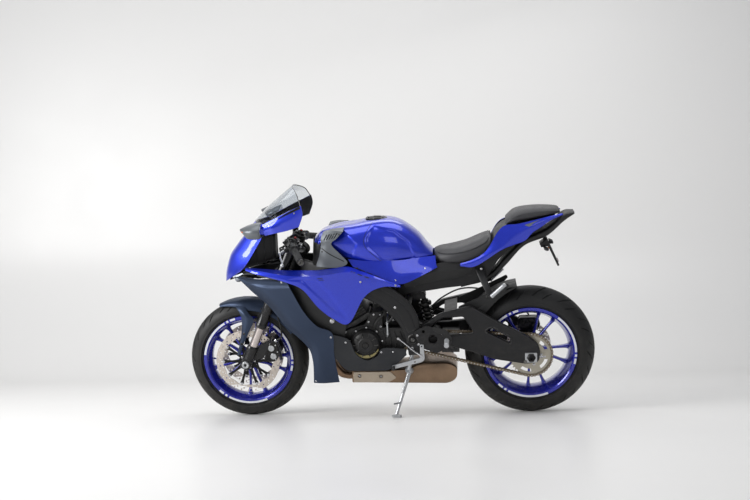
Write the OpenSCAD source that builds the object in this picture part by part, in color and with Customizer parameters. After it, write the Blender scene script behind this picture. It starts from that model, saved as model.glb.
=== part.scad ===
// Sport motorcycle parked on its side stand.
// Bike frame used by every module: X forward from the rear axle, Y to the rider's left,
// Z up from the ground, machine upright. parked() leans the finished pieces onto the stand.

/* [Wheels] */
// Distance between the wheel axles
wheelbase = 1405; // [1380:1:1430]
// Outer radius of the front tyre
front_tyre_r = 300; // [296:1:304]
// Outer radius of the rear tyre
rear_tyre_r = 320; // [316:1:324]
// Section width of the front tyre
front_tyre_w = 120; // [112:1:122]
// Section width of the rear tyre
rear_tyre_w = 190; // [180:1:192]
// Radius of the bead seat on both rims
bead_r = 216; // [214:1:217]
// Number of spoke pairs on each wheel
spoke_pairs = 5; // [4:1:6]
// Radius of the front brake discs
front_disc_r = 160; // [150:1:162]
// Radius of the rear brake disc
rear_disc_r = 110; // [100:1:114]
// Radius of both wheel axles
axle_r = 12.5; // [10:0.5:13]

/* [Steering] */
// Rake of the steering axis from the vertical, degrees
rake = 24; // [22:0.5:25]
// Distance of the fork legs ahead of the steering axis
fork_offset = 29; // [26:1:32]
// Half the distance between the fork legs
fork_half = 105; // [104:1:108]
// Radius of the upper fork tubes
fork_tube_r = 26.7; // [25:0.1:27.5]
// Radius of the handlebar tubes
bar_r = 11; // [10:0.5:12]
// Radius of the rubber grips
grip_r = 17; // [15:0.5:18]

/* [Drive] */
// Pitch of the drive chain
chain_pitch = 15.875; // [15.5:0.005:16]
// Teeth on the rear sprocket
rear_teeth = 41; // [39:1:43]
// Teeth on the gearbox sprocket
front_teeth = 16; // [15:1:17]
// Distance of the chain from the middle plane
chain_y = 112; // [111:0.5:113]

/* [Stance] */
// Lean onto the side stand, degrees
lean = 13; // [12:0.5:14]
// Wall thickness of the painted body panels
panel_t = 3; // [2.5:0.5:4]

/* [Hidden] */
$fn = 48;
// clearance between pieces that seat on each other
gap = 0.3;
// wheelbase and axle heights that the body's tables are drawn for
drawn_base = 1405;
drawn_rear = 320;
drawn_front = 300;
// share of a change at the front axle that a point at x follows: none at the tail, all of it at the head
function along(x) = min(1, max(0, (x - 300) / 800));
// carries a drawn point to the wheelbase and tyre sizes set above
function fit(p) = [p[0] + (wheelbase - drawn_base) * along(p[0]), p[1],
  p[2] + (rear_tyre_r - drawn_rear) * (1 - along(p[0])) + (front_tyre_r - drawn_front) * along(p[0])];
// room that larger tyres need round the drawn ones
rear_more = max(0, rear_tyre_r - drawn_rear);
front_more = max(0, front_tyre_r - drawn_front);
function fit_side(p) = let (q = fit([p[0], 0, p[1]])) [q[0], q[2], p[2]];

// Curves, sheets and lofts

function unit(v) = v / norm(v);
function swap(p) = [p[0], -p[1], p[2]];
function back(l) = [for (i = [len(l) - 1 : -1 : 0]) l[i]];
function spline(a, b, c, d, t) =
  0.5 * (2 * b + (c - a) * t + (2 * a - 5 * b + 4 * c - d) * t * t + (3 * b - a - 3 * c + d) * t * t * t);
function past(l, i) =
  i < 0 ? 2 * l[0] - l[1] : i >= len(l) ? 2 * l[len(l) - 1] - l[len(l) - 2] : l[i];
// points of a smooth curve through the list l, k steps to each span
function curve(l, k) = [
  for (i = [0 : len(l) - 2]) for (j = [0 : k - 1])
    spline(past(l, i - 1), l[i], l[i + 1], past(l, i + 2), j / k),
  l[len(l) - 1]];
// smooth grid through a table of rows, k steps to each span both ways
function grid(rows, k) =
  let (lines = [for (r = rows) curve([for (p = r) fit(p)], k)])
  [for (j = [0 : len(lines[0]) - 1]) curve([for (l = lines) l[j]], k)];
function normal(g, i, j) =
  let (m = len(g) - 1, n = len(g[0]) - 1)
  unit(cross(g[min(i + 1, m)][j] - g[max(i - 1, 0)][j], g[i][min(j + 1, n)] - g[i][max(j - 1, 0)]));

// closed sheet: the grid is its outer face and the wall grows t inward
module sheet(g, t = panel_t) {
  m = len(g);
  n = len(g[0]);
  outer = [for (i = [0 : m - 1]) for (j = [0 : n - 1]) g[i][j]];
  inner = [for (i = [0 : m - 1]) for (j = [0 : n - 1]) g[i][j] - t * normal(g, i, j)];
  rim = concat([for (j = [0 : n - 1]) j], [for (i = [1 : m - 1]) i * n + n - 1],
    [for (j = [n - 2 : -1 : 0]) (m - 1) * n + j], [for (i = [m - 2 : -1 : 1]) i * n]);
  q = m * n;
  faces = concat(
    [for (i = [0 : m - 2]) for (j = [0 : n - 2]) let (a = i * n + j)
      each [[a, a + 1, a + n], [a + 1, a + n + 1, a + n]]],
    [for (i = [0 : m - 2]) for (j = [0 : n - 2]) let (a = q + i * n + j)
      each [[a, a + n, a + 1], [a + 1, a + n, a + n + 1]]],
    [for (k = [0 : len(rim) - 1]) let (a = rim[k], b = rim[(k + 1) % len(rim)])
      each [[b, a, q + a], [b, q + a, q + b]]]);
  polyhedron(concat(outer, inner), faces, convexity = 8);
}

// closed loft through rings of equal length, capped at both ends
module loft(rings) {
  m = len(rings);
  n = len(rings[0]);
  head = [for (k = [0 : 2]) [for (p = rings[0]) p[k]] * [for (p = rings[0]) 1 / n]];
  tail = [for (k = [0 : 2]) [for (p = rings[m - 1]) p[k]] * [for (p = rings[0]) 1 / n]];
  faces = concat(
    [for (i = [0 : m - 2]) for (j = [0 : n - 1]) let (a = i * n + j, b = i * n + (j + 1) % n)
      each [[a, a + n, b], [b, a + n, b + n]]],
    [for (j = [0 : n - 1]) [m * n, j, (j + 1) % n]],
    [for (j = [0 : n - 1]) [m * n + 1, (m - 1) * n + (j + 1) % n, (m - 1) * n + j]]);
  polyhedron(concat([for (r = rings) each r], [head, tail]), faces, convexity = 8);
}

// ring of an eight sided section, half width a along u and half height b along v
function oct(p, u, v, a, b, c) = [for (s = [[1, 1 - c], [1 - c, 1], [c - 1, 1], [-1, 1 - c],
  [-1, c - 1], [c - 1, -1], [1 - c, -1], [1, c - 1]]) p + u * a * s[0] + v * b * s[1]];
function ahead(l, i) = unit(l[min(i + 1, len(l) - 1)] - l[max(i - 1, 0)]);

// round tube of radius r along a path lying near the plane square to ref
module tube(path, r, ref = [0, 1, 0], sides = 10) {
  loft([for (i = [0 : len(path) - 1])
    let (t = ahead(path, i), u = unit(cross(ref, t)), v = cross(t, u))
    [for (s = [0 : sides - 1]) path[i] + r * (cos(s * 360 / sides) * u + sin(s * 360 / sides) * v)]]);
}

// flat bar along stations of x, y, z and width; t is its thickness across the bike
module ribbon(stations, t, k = 2) {
  s = curve([for (p = stations) concat(fit(p), p[3])], k);
  path = [for (p = s) [p[0], p[1], p[2]]];
  loft([for (i = [0 : len(s) - 1])
    let (d = ahead(path, i), v = unit(cross(d, [0, 1, 0])), u = cross(v, d))
    oct(path[i], u, v, t / 2, s[i][3] / 2, 0.45)]);
}

// corners of an outline given as x, z and corner radius
function corner(a, b, c, r, k) =
  let (d = min(r, norm(a - b) / 2.05, norm(c - b) / 2.05), p = b + unit(a - b) * d, q = b + unit(c - b) * d)
  d <= 0 ? [b] : [for (i = [0 : k]) let (t = i / k) (1 - t) * (1 - t) * p + 2 * t * (1 - t) * b + t * t * q];
function xy(p) = [p[0], p[1]];
function outline(l, k = 3) = [for (i = [0 : len(l) - 1]) let (n = len(l))
  each corner(xy(l[(i + n - 1) % n]), xy(l[i]), xy(l[(i + 1) % n]), l[i][2], k)];
// plate with a side outline, standing between y0 and y1
module slab(l, y0, y1, k = 3) {
  translate([0, y1, 0])
    rotate([90, 0, 0])
      linear_extrude(y1 - y0) polygon(outline([for (p = l) fit_side(p)], k));
}
// round bar across the bike between y0 and y1, at x, z as it is or as drawn
module axle(x, z, r, y0, y1) {
  translate([x, y1, z]) rotate([90, 0, 0]) cylinder(r = r, h = y1 - y0);
}
module across(x, z, r, y0, y1) {
  p = fit([x, 0, z]);
  axle(p[0], p[2], r, y0, y1);
}
// round bar between two points, as they are or as drawn
module rod(a, b, r) {
  d = b - a;
  translate(a)
    rotate([0, acos(d[2] / norm(d)), atan2(d[1], d[0])]) cylinder(r = r, h = norm(d));
}
module stay(a, b, r) {
  rod(fit(a), fit(b), r);
}
module both() {
  children();
  mirror([0, 1, 0]) children();
}
// the steered frame: origin at the front axle, Z up along the fork
module fork_frame() {
  translate([wheelbase, 0, front_tyre_r]) rotate([0, -rake, 0]) children();
}
// Frame and engine

// columns: x, y, z and width of the spar
spar = [[1150, 34, 792, 70], [1080, 88, 777, 74], [960, 150, 742, 104], [820, 173, 702, 104],
  [700, 176, 645, 104], [612, 175, 565, 108], [570, 174, 470, 84], [560, 174, 350, 60]];
pivot = [568, 430];
radiator_lug = fit([1032, 96, 680]);
stand_pivot = fit([590, 150, 262]);
// where the stand's foot meets the ground, x and y
stand_foot_at = fit([657, 228, 0]);
// direction of the stand when folded back
stand_fold = [-0.98, 0.2, 0];
function drop(w) = w / 2 * (1 - cos(lean));
pitch = asin((drop(rear_tyre_w) - drop(front_tyre_w)) / wheelbase);
stand_foot = [stand_foot_at[0], stand_foot_at[1],
  (14 - drop(rear_tyre_w) + stand_foot_at[0] * sin(pitch) + stand_foot_at[1] * sin(lean)) / cos(lean)];
stand_axis = unit(cross(stand_foot - stand_pivot, stand_fold));

module main_frame() {
  color([0.05, 0.05, 0.06])
  difference() {
    union() {
      both() ribbon(spar, 22);
      fork_frame() translate([-fork_offset, 0, 513]) cylinder(r = 36, h = 94);
      across(pivot[0], pivot[1], 10, -190, 190);
      both() across(pivot[0], pivot[1], 22, 163, 188);
      across(588, 600, 17, -170, 170);
      across(572, 381, 9, -170, 170);
      both() slab([[600, 585, 8], [600, 620, 8], [505, 622, 14], [505, 590, 14]], 18, 26);
      across(520, 606, 6, -20, 20);
      both() across(840, 668, 12, 128 + gap, 172);
      both() across(950, 730, 9, 150, 248.6);
      both() translate(fit([735, 172, 690])) cylinder(r = 6, h = 69.8);
      both() translate(radiator_lug + [13, 10, 25 + gap]) cylinder(r = 8, h = 70);
      both() translate(fit([800, 157, 690])) cylinder(r = 8, h = 90);
      translate(fit([1150, -22, 800])) cube([45, 44, 34]);
      rod(stand_pivot + 21 * stand_axis, fit([566, 174, 378]), 10);
      rod(stand_pivot + 9.3 * stand_axis, stand_pivot + 28 * stand_axis, 17);
      rod(stand_pivot - 14 * stand_axis, stand_pivot + 20 * stand_axis, 8);
      rod(stand_pivot - 14 * stand_axis, stand_pivot - 9.3 * stand_axis, 13);
    }
    fork_frame() translate([-fork_offset, 0, 450]) cylinder(r = 26, h = 230);
  }
}

crank = [797, 405];
case = [[908, 470, 20], [905, 340, 25], [860, 300, 20], [640, 292, 20], [606, 330, 20],
  [604, 460, 20], [655, 560, 20], [770, 560, 10], [800, 500, 10]];
case_front = [[908, 470, 20], [905, 340, 25], [860, 300, 20], [714, 295, 4], [714, 560, 4],
  [770, 560, 10], [800, 500, 10]];
head = [[775, 530, 6], [905, 455, 4], [985, 595, 4], [950, 668, 20], [830, 700, 20], [790, 640, 10]];
pan = [[850, 310, 4], [828, 262, 12], [690, 262, 12], [665, 310, 4]];

// lugs that carry the lower panels: x, z, radius, from y, to y
engine_lugs = [[893, 425, 7, 140, 199.6], [665, 376, 6, 130, 192.8], [925, 545, 7, 120, 189.1]];
module engine() {
  color([0.10, 0.10, 0.11])
  union() {
    slab(case, -140, 94);
    slab(case_front, -148, 148);
    slab(head, -128, 128);
    slab(pan, -70, 70);
    across(crank[0], crank[1], 78, 140, 188);
    across(crank[0], crank[1], 62, 180, 195);
    across(crank[0], crank[1], 55, -176, -140);
    across(708, 468, 64, -200, -135);
    across(708, 468, 48, -210, -190);
    slab([[725, 480, 6], [600, 475, 20], [596, 385, 20], [640, 365, 20], [725, 372, 6]], 128, 148);
    across(650, 420, 12, 90, 118);
    across(650, 420, 34, chain_y - 3.2, chain_y + 3.2);
    for (l = engine_lugs) both() across(l[0], l[1], l[2], l[3], l[4]);
  }
}

module radiator() {
  color([0.16, 0.16, 0.17])
  difference() {
    union() {
      translate(fit([1068, 0, 0]) - [900, 0, 0])
        rotate([0, 0, -10.6])
          rotate_extrude(angle = 21.2, $fn = 240)
            translate([874, 430]) square([26, 262]);
      both() translate(fit([1026, 150, 424])) cube([32, 20, 276]);
      both() translate(radiator_lug) cube([26, 22, 25]);
    }
    for (k = [-6 : 6])
      translate(fit([1061, k * 22 - 2, 445])) cube([20, 4, 232]);
  }
}

// columns: distance across at the port and at the collector
header_y = [[-112, -78], [-38, -26], [38, 26], [112, 78]];
// square to the front face of the cylinder head
port_face = fit([985, 0, 595]) - fit([905, 0, 455]);
port_way = unit([port_face[2], 0, -port_face[0]]);
module exhaust_headers() {
  color([0.45, 0.33, 0.22])
  for (h = header_y) {
    port = fit([954.6, h[0], 541.8]);
    end = fit([880 + 2 * gap, h[1], 220]);
    way = [for (p = [[959, h[0], 539.3], [986, h[0], 525], [1004, h[0], 486], [997, h[0] * 0.97, 395],
      [970, h[0] * 0.9, 292], [936, h[0] * 0.8, 238], [905, h[1], 220]]) fit(p)];
    union() {
      tube(curve(concat(way, [end + [12, 0, 0], end]), 2), 18);
      rod(port + gap * port_way, port + (7 + gap) * port_way, 25);
    }
  }
}

can = [[880, 250, 6], [880, 190, 6], [640, 184, 20], [400 + rear_more, 178, 24], [360 + rear_more, 204, 24],
  [358 + rear_more, 262, 20], [400 + rear_more, 284, 24], [545, 284, 24], [600, 256, 20], [690, 250, 10]];
module exhaust_silencer() {
  color([0.38, 0.28, 0.20])
  difference() {
    union() {
      slab(can, -108, 108, 4);
      slab([[870, 244, 6], [870, 196, 6], [700, 192, 6], [660, 214, 6], [690, 244, 6]], 100, 122);
      stay([470, -80, 240], [395, -158, 262], 30);
    }
    stay([440, -112, 249], [392, -161, 263], 26);
  }
}

// Rear suspension and drive

arm = [[592, 402, 14], [592, 458, 14], [555, 472, 20], [430, 548, 16], [284, 580, 18], [138, 490, 30],
  [20, 429, 30], [-36, 385, 24], [-46, 340, 16], [-36, 294, 16], [22, 285, 20], [177, 312, 30],
  [262, 343, 30], [400, 388, 30], [540, 396, 20]];
window = [[500, 468, 8], [424, 522, 10], [322, 528, 12], [272, 446, 12], [395, 434, 10], [500, 432, 8]];
slot_hole = [[215, 452, 14], [190, 470, 14], [98, 416, 12], [100, 392, 12]];

module swingarm() {
  color([0.06, 0.06, 0.07])
  difference() {
    union() {
      both() slab(arm, 128, 158);
      slab([[345 + rear_more, 345, 0], [430, 345, 0], [430, 407, 0], [345 + rear_more, 407, 0]], -130, 130);
      slab([[415, 545, 4], [352, 558, 4], [352, 544, 4], [415, 531, 4]], -130, 130);
      across(pivot[0], pivot[1], 24, -130, 96);
      slab([[440, 412, 8], [440, 350, 8], [560, 408, 6], [560, 452, 6]], -128, 60);
      both() slab([[420, 392, 6], [420, 352, 6], [482, 358, 14], [482, 386, 14]], 18, 26);
      both() across(30, 300, 9, 150, 168);
    }
    both() slab(window, 120, 170);
    both() slab(slot_hole, 120, 170);
    across(pivot[0], pivot[1], 10 + gap, -200, 200);
    axle(0, rear_tyre_r, axle_r + gap, -200, 200);
    slab([[445, 430, 8], [445, 300, 8], [540, 330, 8], [540, 470, 8]], -42, 42);
    across(30, 300, 4, 148, 170);
    across(30, 300, 4, -170, -148);
  }
}

module rear_axle() {
  color([0.55, 0.55, 0.57])
  union() {
    axle(0, rear_tyre_r, axle_r, -172, 172);
    axle(0, rear_tyre_r, 19, 166, 180);
    axle(0, rear_tyre_r, 17, -178, -166);
    both() difference() {
      slab([[30, 344, 5], [-28, 344, 5], [-28, 296, 5], [30, 296, 5]], 158 + gap, 166);
      across(30, 300, 10, 150, 170);
    }
  }
}

shock_top = fit([520, 0, 606]);
shock_low = fit([470, 0, 372]);
function shock_at(t) = shock_low + t * (shock_top - shock_low);
module rear_shock() {
  color([0.35, 0.35, 0.37])
  difference() {
    union() {
      rod(shock_low, shock_top, 11);
      rod(shock_at(0.195), shock_at(0.855), 18);
      rod(shock_at(0.195), shock_at(0.25), 31);
      rod(shock_at(0.785), shock_at(0.855), 31);
      for (k = [0 : 6])
        translate(shock_at(0.255 + 0.08 * k))
          rotate([0, 12, 0]) rotate_extrude() translate([23, 0]) circle(r = 6, $fn = 16);
      axle(shock_top[0], shock_top[2], 15, -17.5, 17.5);
      axle(shock_low[0], shock_low[2], 14, -17.5, 17.5);
    }
    axle(shock_top[0], shock_top[2], 6 + gap, -30, 30);
    axle(shock_low[0], shock_low[2], 6, -30, 30);
  }
}

rear_pitch_r = chain_pitch / (2 * sin(180 / rear_teeth));
front_pitch_r = chain_pitch / (2 * sin(180 / front_teeth));
drive_at = fit([650, 0, 420]);
drive = [drive_at[0], drive_at[2]];
// belt line round both sprockets at height h from the pitch line
function belt(h) =
  let (dx = drive[0], dz = drive[1] - rear_tyre_r, l = norm([dx, dz]), a = atan2(dz, dx),
    b = asin((rear_pitch_r - front_pitch_r) / l))
  concat(
    [for (t = [90 - b : 9 : 270 + b]) [(rear_pitch_r + h) * cos(t + a),
      rear_tyre_r + (rear_pitch_r + h) * sin(t + a)]],
    [for (t = [-90 + b : 15 : 90 - b]) [dx + (front_pitch_r + h) * cos(t + a),
      drive[1] + (front_pitch_r + h) * sin(t + a)]]);

module drive_chain() {
  color([0.40, 0.33, 0.24])
  for (s = [[-11.5, -4], [4, 11.5]])
    translate([0, chain_y + s[1], 0]) rotate([90, 0, 0]) linear_extrude(s[1] - s[0])
      difference() {
        polygon(belt(7.5));
        polygon(belt(-7.5));
      }
}

module rear_hugger() {
  color([0.05, 0.05, 0.05])
  union() {
    wheel_at(0, rear_tyre_r) rotate([0, 0, 34])
      rotate_extrude(angle = 46, $fn = 120)
        polygon([for (p = [[44, -99], [47, -60], [47, 60], [44, 99], [0, 104], [0, 107], [47, 102],
          [50, 60], [50, -60], [47, -102], [0, -107], [0, -104]]) [300 + p[0] + (p[0] > 0 ? rear_more : 0),
            p[1]]]);
    both() slab([[345, 548, 6], [345, 566, 6], [262, 602, 10], [104, 676, 6], [96, 662, 4], [150, 604, 10],
      [270, 548, 6]], 97.5, 102.7);
    both() across(308, 560, 7, 98, 128 - gap);
  }
}

module rear_caliper() {
  color([0.06, 0.06, 0.06])
  difference() {
    union() {
      slab([[46, 462, 12], [-50, 462, 12], [-60, 420, 10], [-40, 400, 8], [40, 400, 8],
        [56, 425, 10]], -122, -62);
      slab([[26, 410, 8], [-26, 410, 8], [-24, 300, 20], [24, 300, 20]], -126, -114);
    }
    axle(0, rear_tyre_r, rear_disc_r + 4, -98, -84);
    axle(0, rear_tyre_r, 96, -98, -50);
    axle(0, rear_tyre_r, axle_r + gap, -140, -100);
  }
}

// Wheels

// heights above the bead seat and distances from the middle, for a rim of half width h
function rim_profile(h) = [for (p = [[0, -h], [12, -h - 1], [12, -h - 6], [-3, -h - 7], [-9, 6 - h],
  [-28, -h / 2], [-28, h / 2], [-9, h - 6], [-3, h + 7], [12, h + 6], [12, h + 1], [0, h],
  [0, h - 12], [-19, h / 2 - 6], [-19, 6 - h / 2], [0, 12 - h]]) [bead_r + p[0], p[1]]];
module wheel_at(x, r) {
  translate([x, 0, r]) rotate([90, 0, 0]) children();
}
// rim with hub and spoke pairs: h half width, hub_r hub radius, hub from y0 to y1, spokes t thick
module rim(h, hub_r, y0, y1, t) {
  difference() {
    union() {
      rotate_extrude($fn = 96) polygon(rim_profile(h));
      translate([0, 0, -y1]) cylinder(r = hub_r, h = y1 - y0);
      for (k = [0 : spoke_pairs - 1], s = [-1, 1])
        rotate([0, 0, 45 + k * 360 / spoke_pairs])
          translate([0, 0, -t / 2]) linear_extrude(t)
            polygon([[hub_r - 8, s * 2], [hub_r - 8, s * 20], [bead_r - 30, s * 53],
              [bead_r - 24, s * 31], [bead_r - 96, s * 19]]);
    }
    translate([0, 0, -y1 - 1]) cylinder(r = axle_r + gap, h = y1 - y0 + 2);
  }
}
// arc of radius c about the height m, between the points where it crosses the height low
function crown(m, c, low, steps) = let (t = acos((low - m) / c))
  [for (i = [0 : steps]) let (a = t * (2 * i / steps - 1)) [m + c * cos(a), c * sin(a)]];
// tyre on a rim of half width h, outer radius r and section width w
tyre_wall = 13;
module tyre(h, r, w) {
  c = w / 2;
  low = bead_r + 0.43 * (r - bead_r);
  bead = bead_r + gap;
  rotate_extrude($fn = 120)
    polygon(concat([[bead, gap - h], [bead_r + 14, 1 - h]], crown(r - c, c, low, 30), [[bead_r + 14, h - 1],
      [bead, h - gap], [bead, h - tyre_wall]], back(crown(r - c, c - tyre_wall, low, 20)), [[bead,
        tyre_wall - h]]));
}
// drilled disc of radius r on a five armed carrier, between y0 and y1 on a hub seat at y2
module brake_disc(r, inner, hub, y0, y1, y2, rows, holes) {
  translate([0, 0, -y1]) linear_extrude(y1 - y0)
    difference() {
      circle(r = r, $fn = 96);
      difference() {
        circle(r = inner, $fn = 96);
        circle(r = hub);
        for (k = [0 : 4]) rotate(72 * k + 9) translate([0, -11]) square([inner + 10, 22]);
      }
      circle(r = 26);
      for (k = [0 : holes - 1], q = [0 : len(rows) - 1])
        rotate((k + q / len(rows)) * 360 / holes) translate([rows[q], 0]) circle(r = 3.5, $fn = 16);
    }
  translate([0, 0, -y0 - 1]) difference() {
    cylinder(r = hub - 3, h = y0 + 1 - y2);
    translate([0, 0, -5]) cylinder(r = 26, h = y0 + 10 - y2);
  }
}
front_half = 45;
rear_half = 77;
disc_y = 68;

module front_rim() {
  color([0.05, 0.10, 0.42]) wheel_at(wheelbase, front_tyre_r) rim(front_half, 40, -60, 60, 30);
}
module rear_rim() {
  color([0.05, 0.10, 0.42]) wheel_at(0, rear_tyre_r) rim(rear_half, 52, -74, 64, 36);
}
module front_tyre() {
  color([0.04, 0.04, 0.04]) wheel_at(wheelbase, front_tyre_r) tyre(front_half, front_tyre_r, front_tyre_w);
}
module rear_tyre() {
  color([0.04, 0.04, 0.04]) wheel_at(0, rear_tyre_r) tyre(rear_half, rear_tyre_r, rear_tyre_w);
}
module front_discs() {
  color([0.45, 0.40, 0.35])
  wheel_at(wheelbase, front_tyre_r)
    for (s = [0, 1]) mirror([0, 0, s])
      brake_disc(front_disc_r, 124, 44, disc_y - 2.3, disc_y + 2.3, 60 + gap, [134, 144, 152], 24);
}
module rear_disc() {
  color([0.45, 0.40, 0.35])
  wheel_at(0, rear_tyre_r) mirror([0, 0, 1])
    brake_disc(rear_disc_r, 80, 46, 88, 93, 74 + gap, [90, 100], 18);
}
module rear_sprocket() {
  color([0.55, 0.52, 0.46])
  wheel_at(0, rear_tyre_r)
  difference() {
    union() {
      translate([0, 0, -chain_y - 3.2]) linear_extrude(6.4)
        polygon([for (k = [0 : rear_teeth - 1]) let (a = 360 / rear_teeth) each [
          for (q = [[-0.5, -4.6], [-0.22, -2.6], [-0.1, 5], [0.1, 5], [0.22, -2.6]])
            (rear_pitch_r + q[1]) * [cos((k + q[0]) * a), sin((k + q[0]) * a)]]]);
      translate([0, 0, -chain_y]) cylinder(r = 58, h = chain_y - 64 - gap);
    }
    translate([0, 0, -130]) cylinder(r = axle_r + gap, h = 140);
    for (k = [0 : 4])
      rotate([0, 0, k * 72]) translate([78, 0, -130]) cylinder(r = 13, h = 60);
    translate([0, 0, -130]) cylinder(r = 34, h = 130 - chain_y - 4);
  }
}
module front_axle() {
  color([0.5, 0.5, 0.52])
  difference() {
    union() {
      axle(wheelbase, front_tyre_r, axle_r, -130, 134);
      axle(wheelbase, front_tyre_r, 18, 134 - gap, 142);
    }
    axle(wheelbase, front_tyre_r, 8, -140, 150);
  }
}

// Fork and controls

module leg() {
  difference() {
    union() {
      translate([0, fork_half, 212]) cylinder(r = fork_tube_r, h = 466);
      translate([0, fork_half, 206]) cylinder(r = 28, h = 16);
      translate([0, fork_half, 80]) cylinder(r = 21.5, h = 140);
      translate([0, fork_half, -26]) cylinder(r = 28, h = 124);
      translate([0, fork_half, 678]) cylinder(r = 16, h = 9, $fn = 6);
      translate([0, 92, 0]) rotate([90, 0, 0]) linear_extrude(10)
        polygon([[-15, 8], [-72 + gap, 56], [-72 + gap, 142], [-60, 144], [-15, 92]]);
      translate([18, fork_half - 6, 60]) cube([16, 12, 30]);
    }
    translate([0, 150, 0]) rotate([90, 0, 0]) cylinder(r = axle_r + gap, h = 100);
    translate([-20, 134 - 0.01, -40]) cube([40, 20, 80]);
  }
}
module fork_legs() {
  color([0.12, 0.12, 0.13]) fork_frame() both() leg();
}
module clamp_plate(z, h) {
  translate([0, 0, z]) linear_extrude(h)
    difference() {
      union() {
        translate([0, fork_half]) circle(r = 38);
        translate([0, -fork_half]) circle(r = 38);
        translate([-fork_offset, 0]) circle(r = 36);
        polygon([[-32, -105], [-62, -20], [-62, 20], [-32, 105], [28, 105], [6, 30], [6, -30], [28, -105]]);
      }
      translate([0, fork_half]) circle(r = fork_tube_r + gap);
      translate([0, -fork_half]) circle(r = fork_tube_r + gap);
    }
}
module triple_clamps() {
  color([0.08, 0.08, 0.09])
  fork_frame() difference() {
    union() {
      clamp_plate(478, 30);
      clamp_plate(612, 22);
      translate([-fork_offset, 0, 478]) cylinder(r = 25.5, h = 156);
      translate([-fork_offset, 0, 634]) cylinder(r = 20, h = 12, $fn = 6);
    }
    translate([-fork_offset, 0, 470]) cylinder(r = 8.5, h = 68);
  }
}
bar_in = [wheelbase - 253, 105, front_tyre_r + 606];
bar_out = [wheelbase - 336, 342, front_tyre_r + 552];
bar_dir = unit(bar_out - bar_in);
module clip_on() {
  union() {
    difference() {
      union() {
        fork_frame() translate([0, fork_half, 640]) cylinder(r = 36, h = 26);
        rod(bar_in + 20 * bar_dir, bar_out, bar_r);
        rod(bar_in + 112 * bar_dir, bar_out - 14 * bar_dir, grip_r);
        rod(bar_out - 16 * bar_dir, bar_out + 4 * bar_dir, 15);
        rod(bar_in + 62 * bar_dir, bar_in + 106 * bar_dir, 24);
      }
      fork_frame() translate([0, fork_half, 600]) cylinder(r = fork_tube_r + gap, h = 100);
    }
    rod(bar_in + 84 * bar_dir, bar_in + 84 * bar_dir + [46, 12, -6], 11);
    tube(curve([bar_in + 84 * bar_dir + [40, 8, -5], bar_in + 110 * bar_dir + [58, 10, -12],
      bar_in + 170 * bar_dir + [56, 4, -16], bar_in + 236 * bar_dir + [52, 2, -16]], 2), 5.5, [0, 0, 1], 8);
    translate(bar_in + 236 * bar_dir + [52, 2, -16]) sphere(r = 9, $fn = 24);
  }
}
module handlebars() {
  color([0.09, 0.09, 0.09]) {
    clip_on();
    mirror([0, 1, 0]) union() {
      clip_on();
      rod(bar_in + 84 * bar_dir + [40, 4, -2], bar_in + 84 * bar_dir + [42, 0, 44], 16);
    }
  }
}

module caliper() {
  difference() {
    translate([0, 94, 0]) rotate([90, 0, 0]) linear_extrude(48)
      polygon(outline([[-72, 48, 6], [-72, 146, 6], [-96, 160, 12], [-140, 108, 14], [-132, 62, 12],
        [-100, 46, 8]], 3));
    translate([0, disc_y + 5, 0]) rotate([90, 0, 0]) cylinder(r = front_disc_r + 4, h = 10);
    translate([0, disc_y + 5, 0]) rotate([90, 0, 0]) cylinder(r = 132, h = 40);
  }
}
module front_calipers() {
  color([0.07, 0.07, 0.07]) fork_frame() both() caliper();
}

// the blade that runs down ahead of each fork leg
blade_rows = [
  [[1466, 55, 594 + front_more], [1430, 55, 602 + front_more], [1394, 55, 600 + front_more]],
  [[1446, 71, 577 + front_more], [1421, 72, 578 + front_more], [1399, 72, 577 + front_more]],
  [[1428, 84, 550], [1405, 94, 550], [1380, 92, 549]],
  [[1420, 88, 519], [1389, 100, 520], [1357, 98, 518]],
  [[1424, 90, 457], [1406, 101, 458], [1385, 100, 457]],
  [[1440, 92, 385], [1431, 100, 386], [1420, 99, 385]],
  [[1453, 92, 339], [1444, 97, 340], [1434, 97, 339]]];
module front_mudguard() {
  color([0.20, 0.24, 0.32])
  union() {
    wheel_at(wheelbase, front_tyre_r)
      rotate([0, 0, 66])
        rotate_extrude(angle = 84, $fn = 120)
          polygon([for (p = [[50, 0], [47, -30], [36, -52], [18, -66], [0, -70], [0, -73], [20, -69],
            [39, -54], [50, -31], [53, 0], [50, 31], [39, 54], [20, 69], [0, 73], [0, 70],
            [18, 66], [36, 52], [47, 30]]) [262 + p[0] + (p[0] > 0 ? front_more : 0), p[1]]]);
    both() left_sheet(blade_rows, 4);
    fork_frame() both() {
      translate([-16, 66, 210]) cube([52, 5, 75]);
      translate([28 + gap, 66, 214]) cube([6, 60, 40]);
      translate([28 + gap, 88, 214]) cube([18, 12, 14]);
    }
  }
}

// Body panels
// every table below: one row per line along the panel, top line first, each point x, y, z from front to rear

// steps between table points
fine = 2;
module left_sheet(rows, t = panel_t) {
  sheet(grid(back(rows), fine), t);
}

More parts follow.
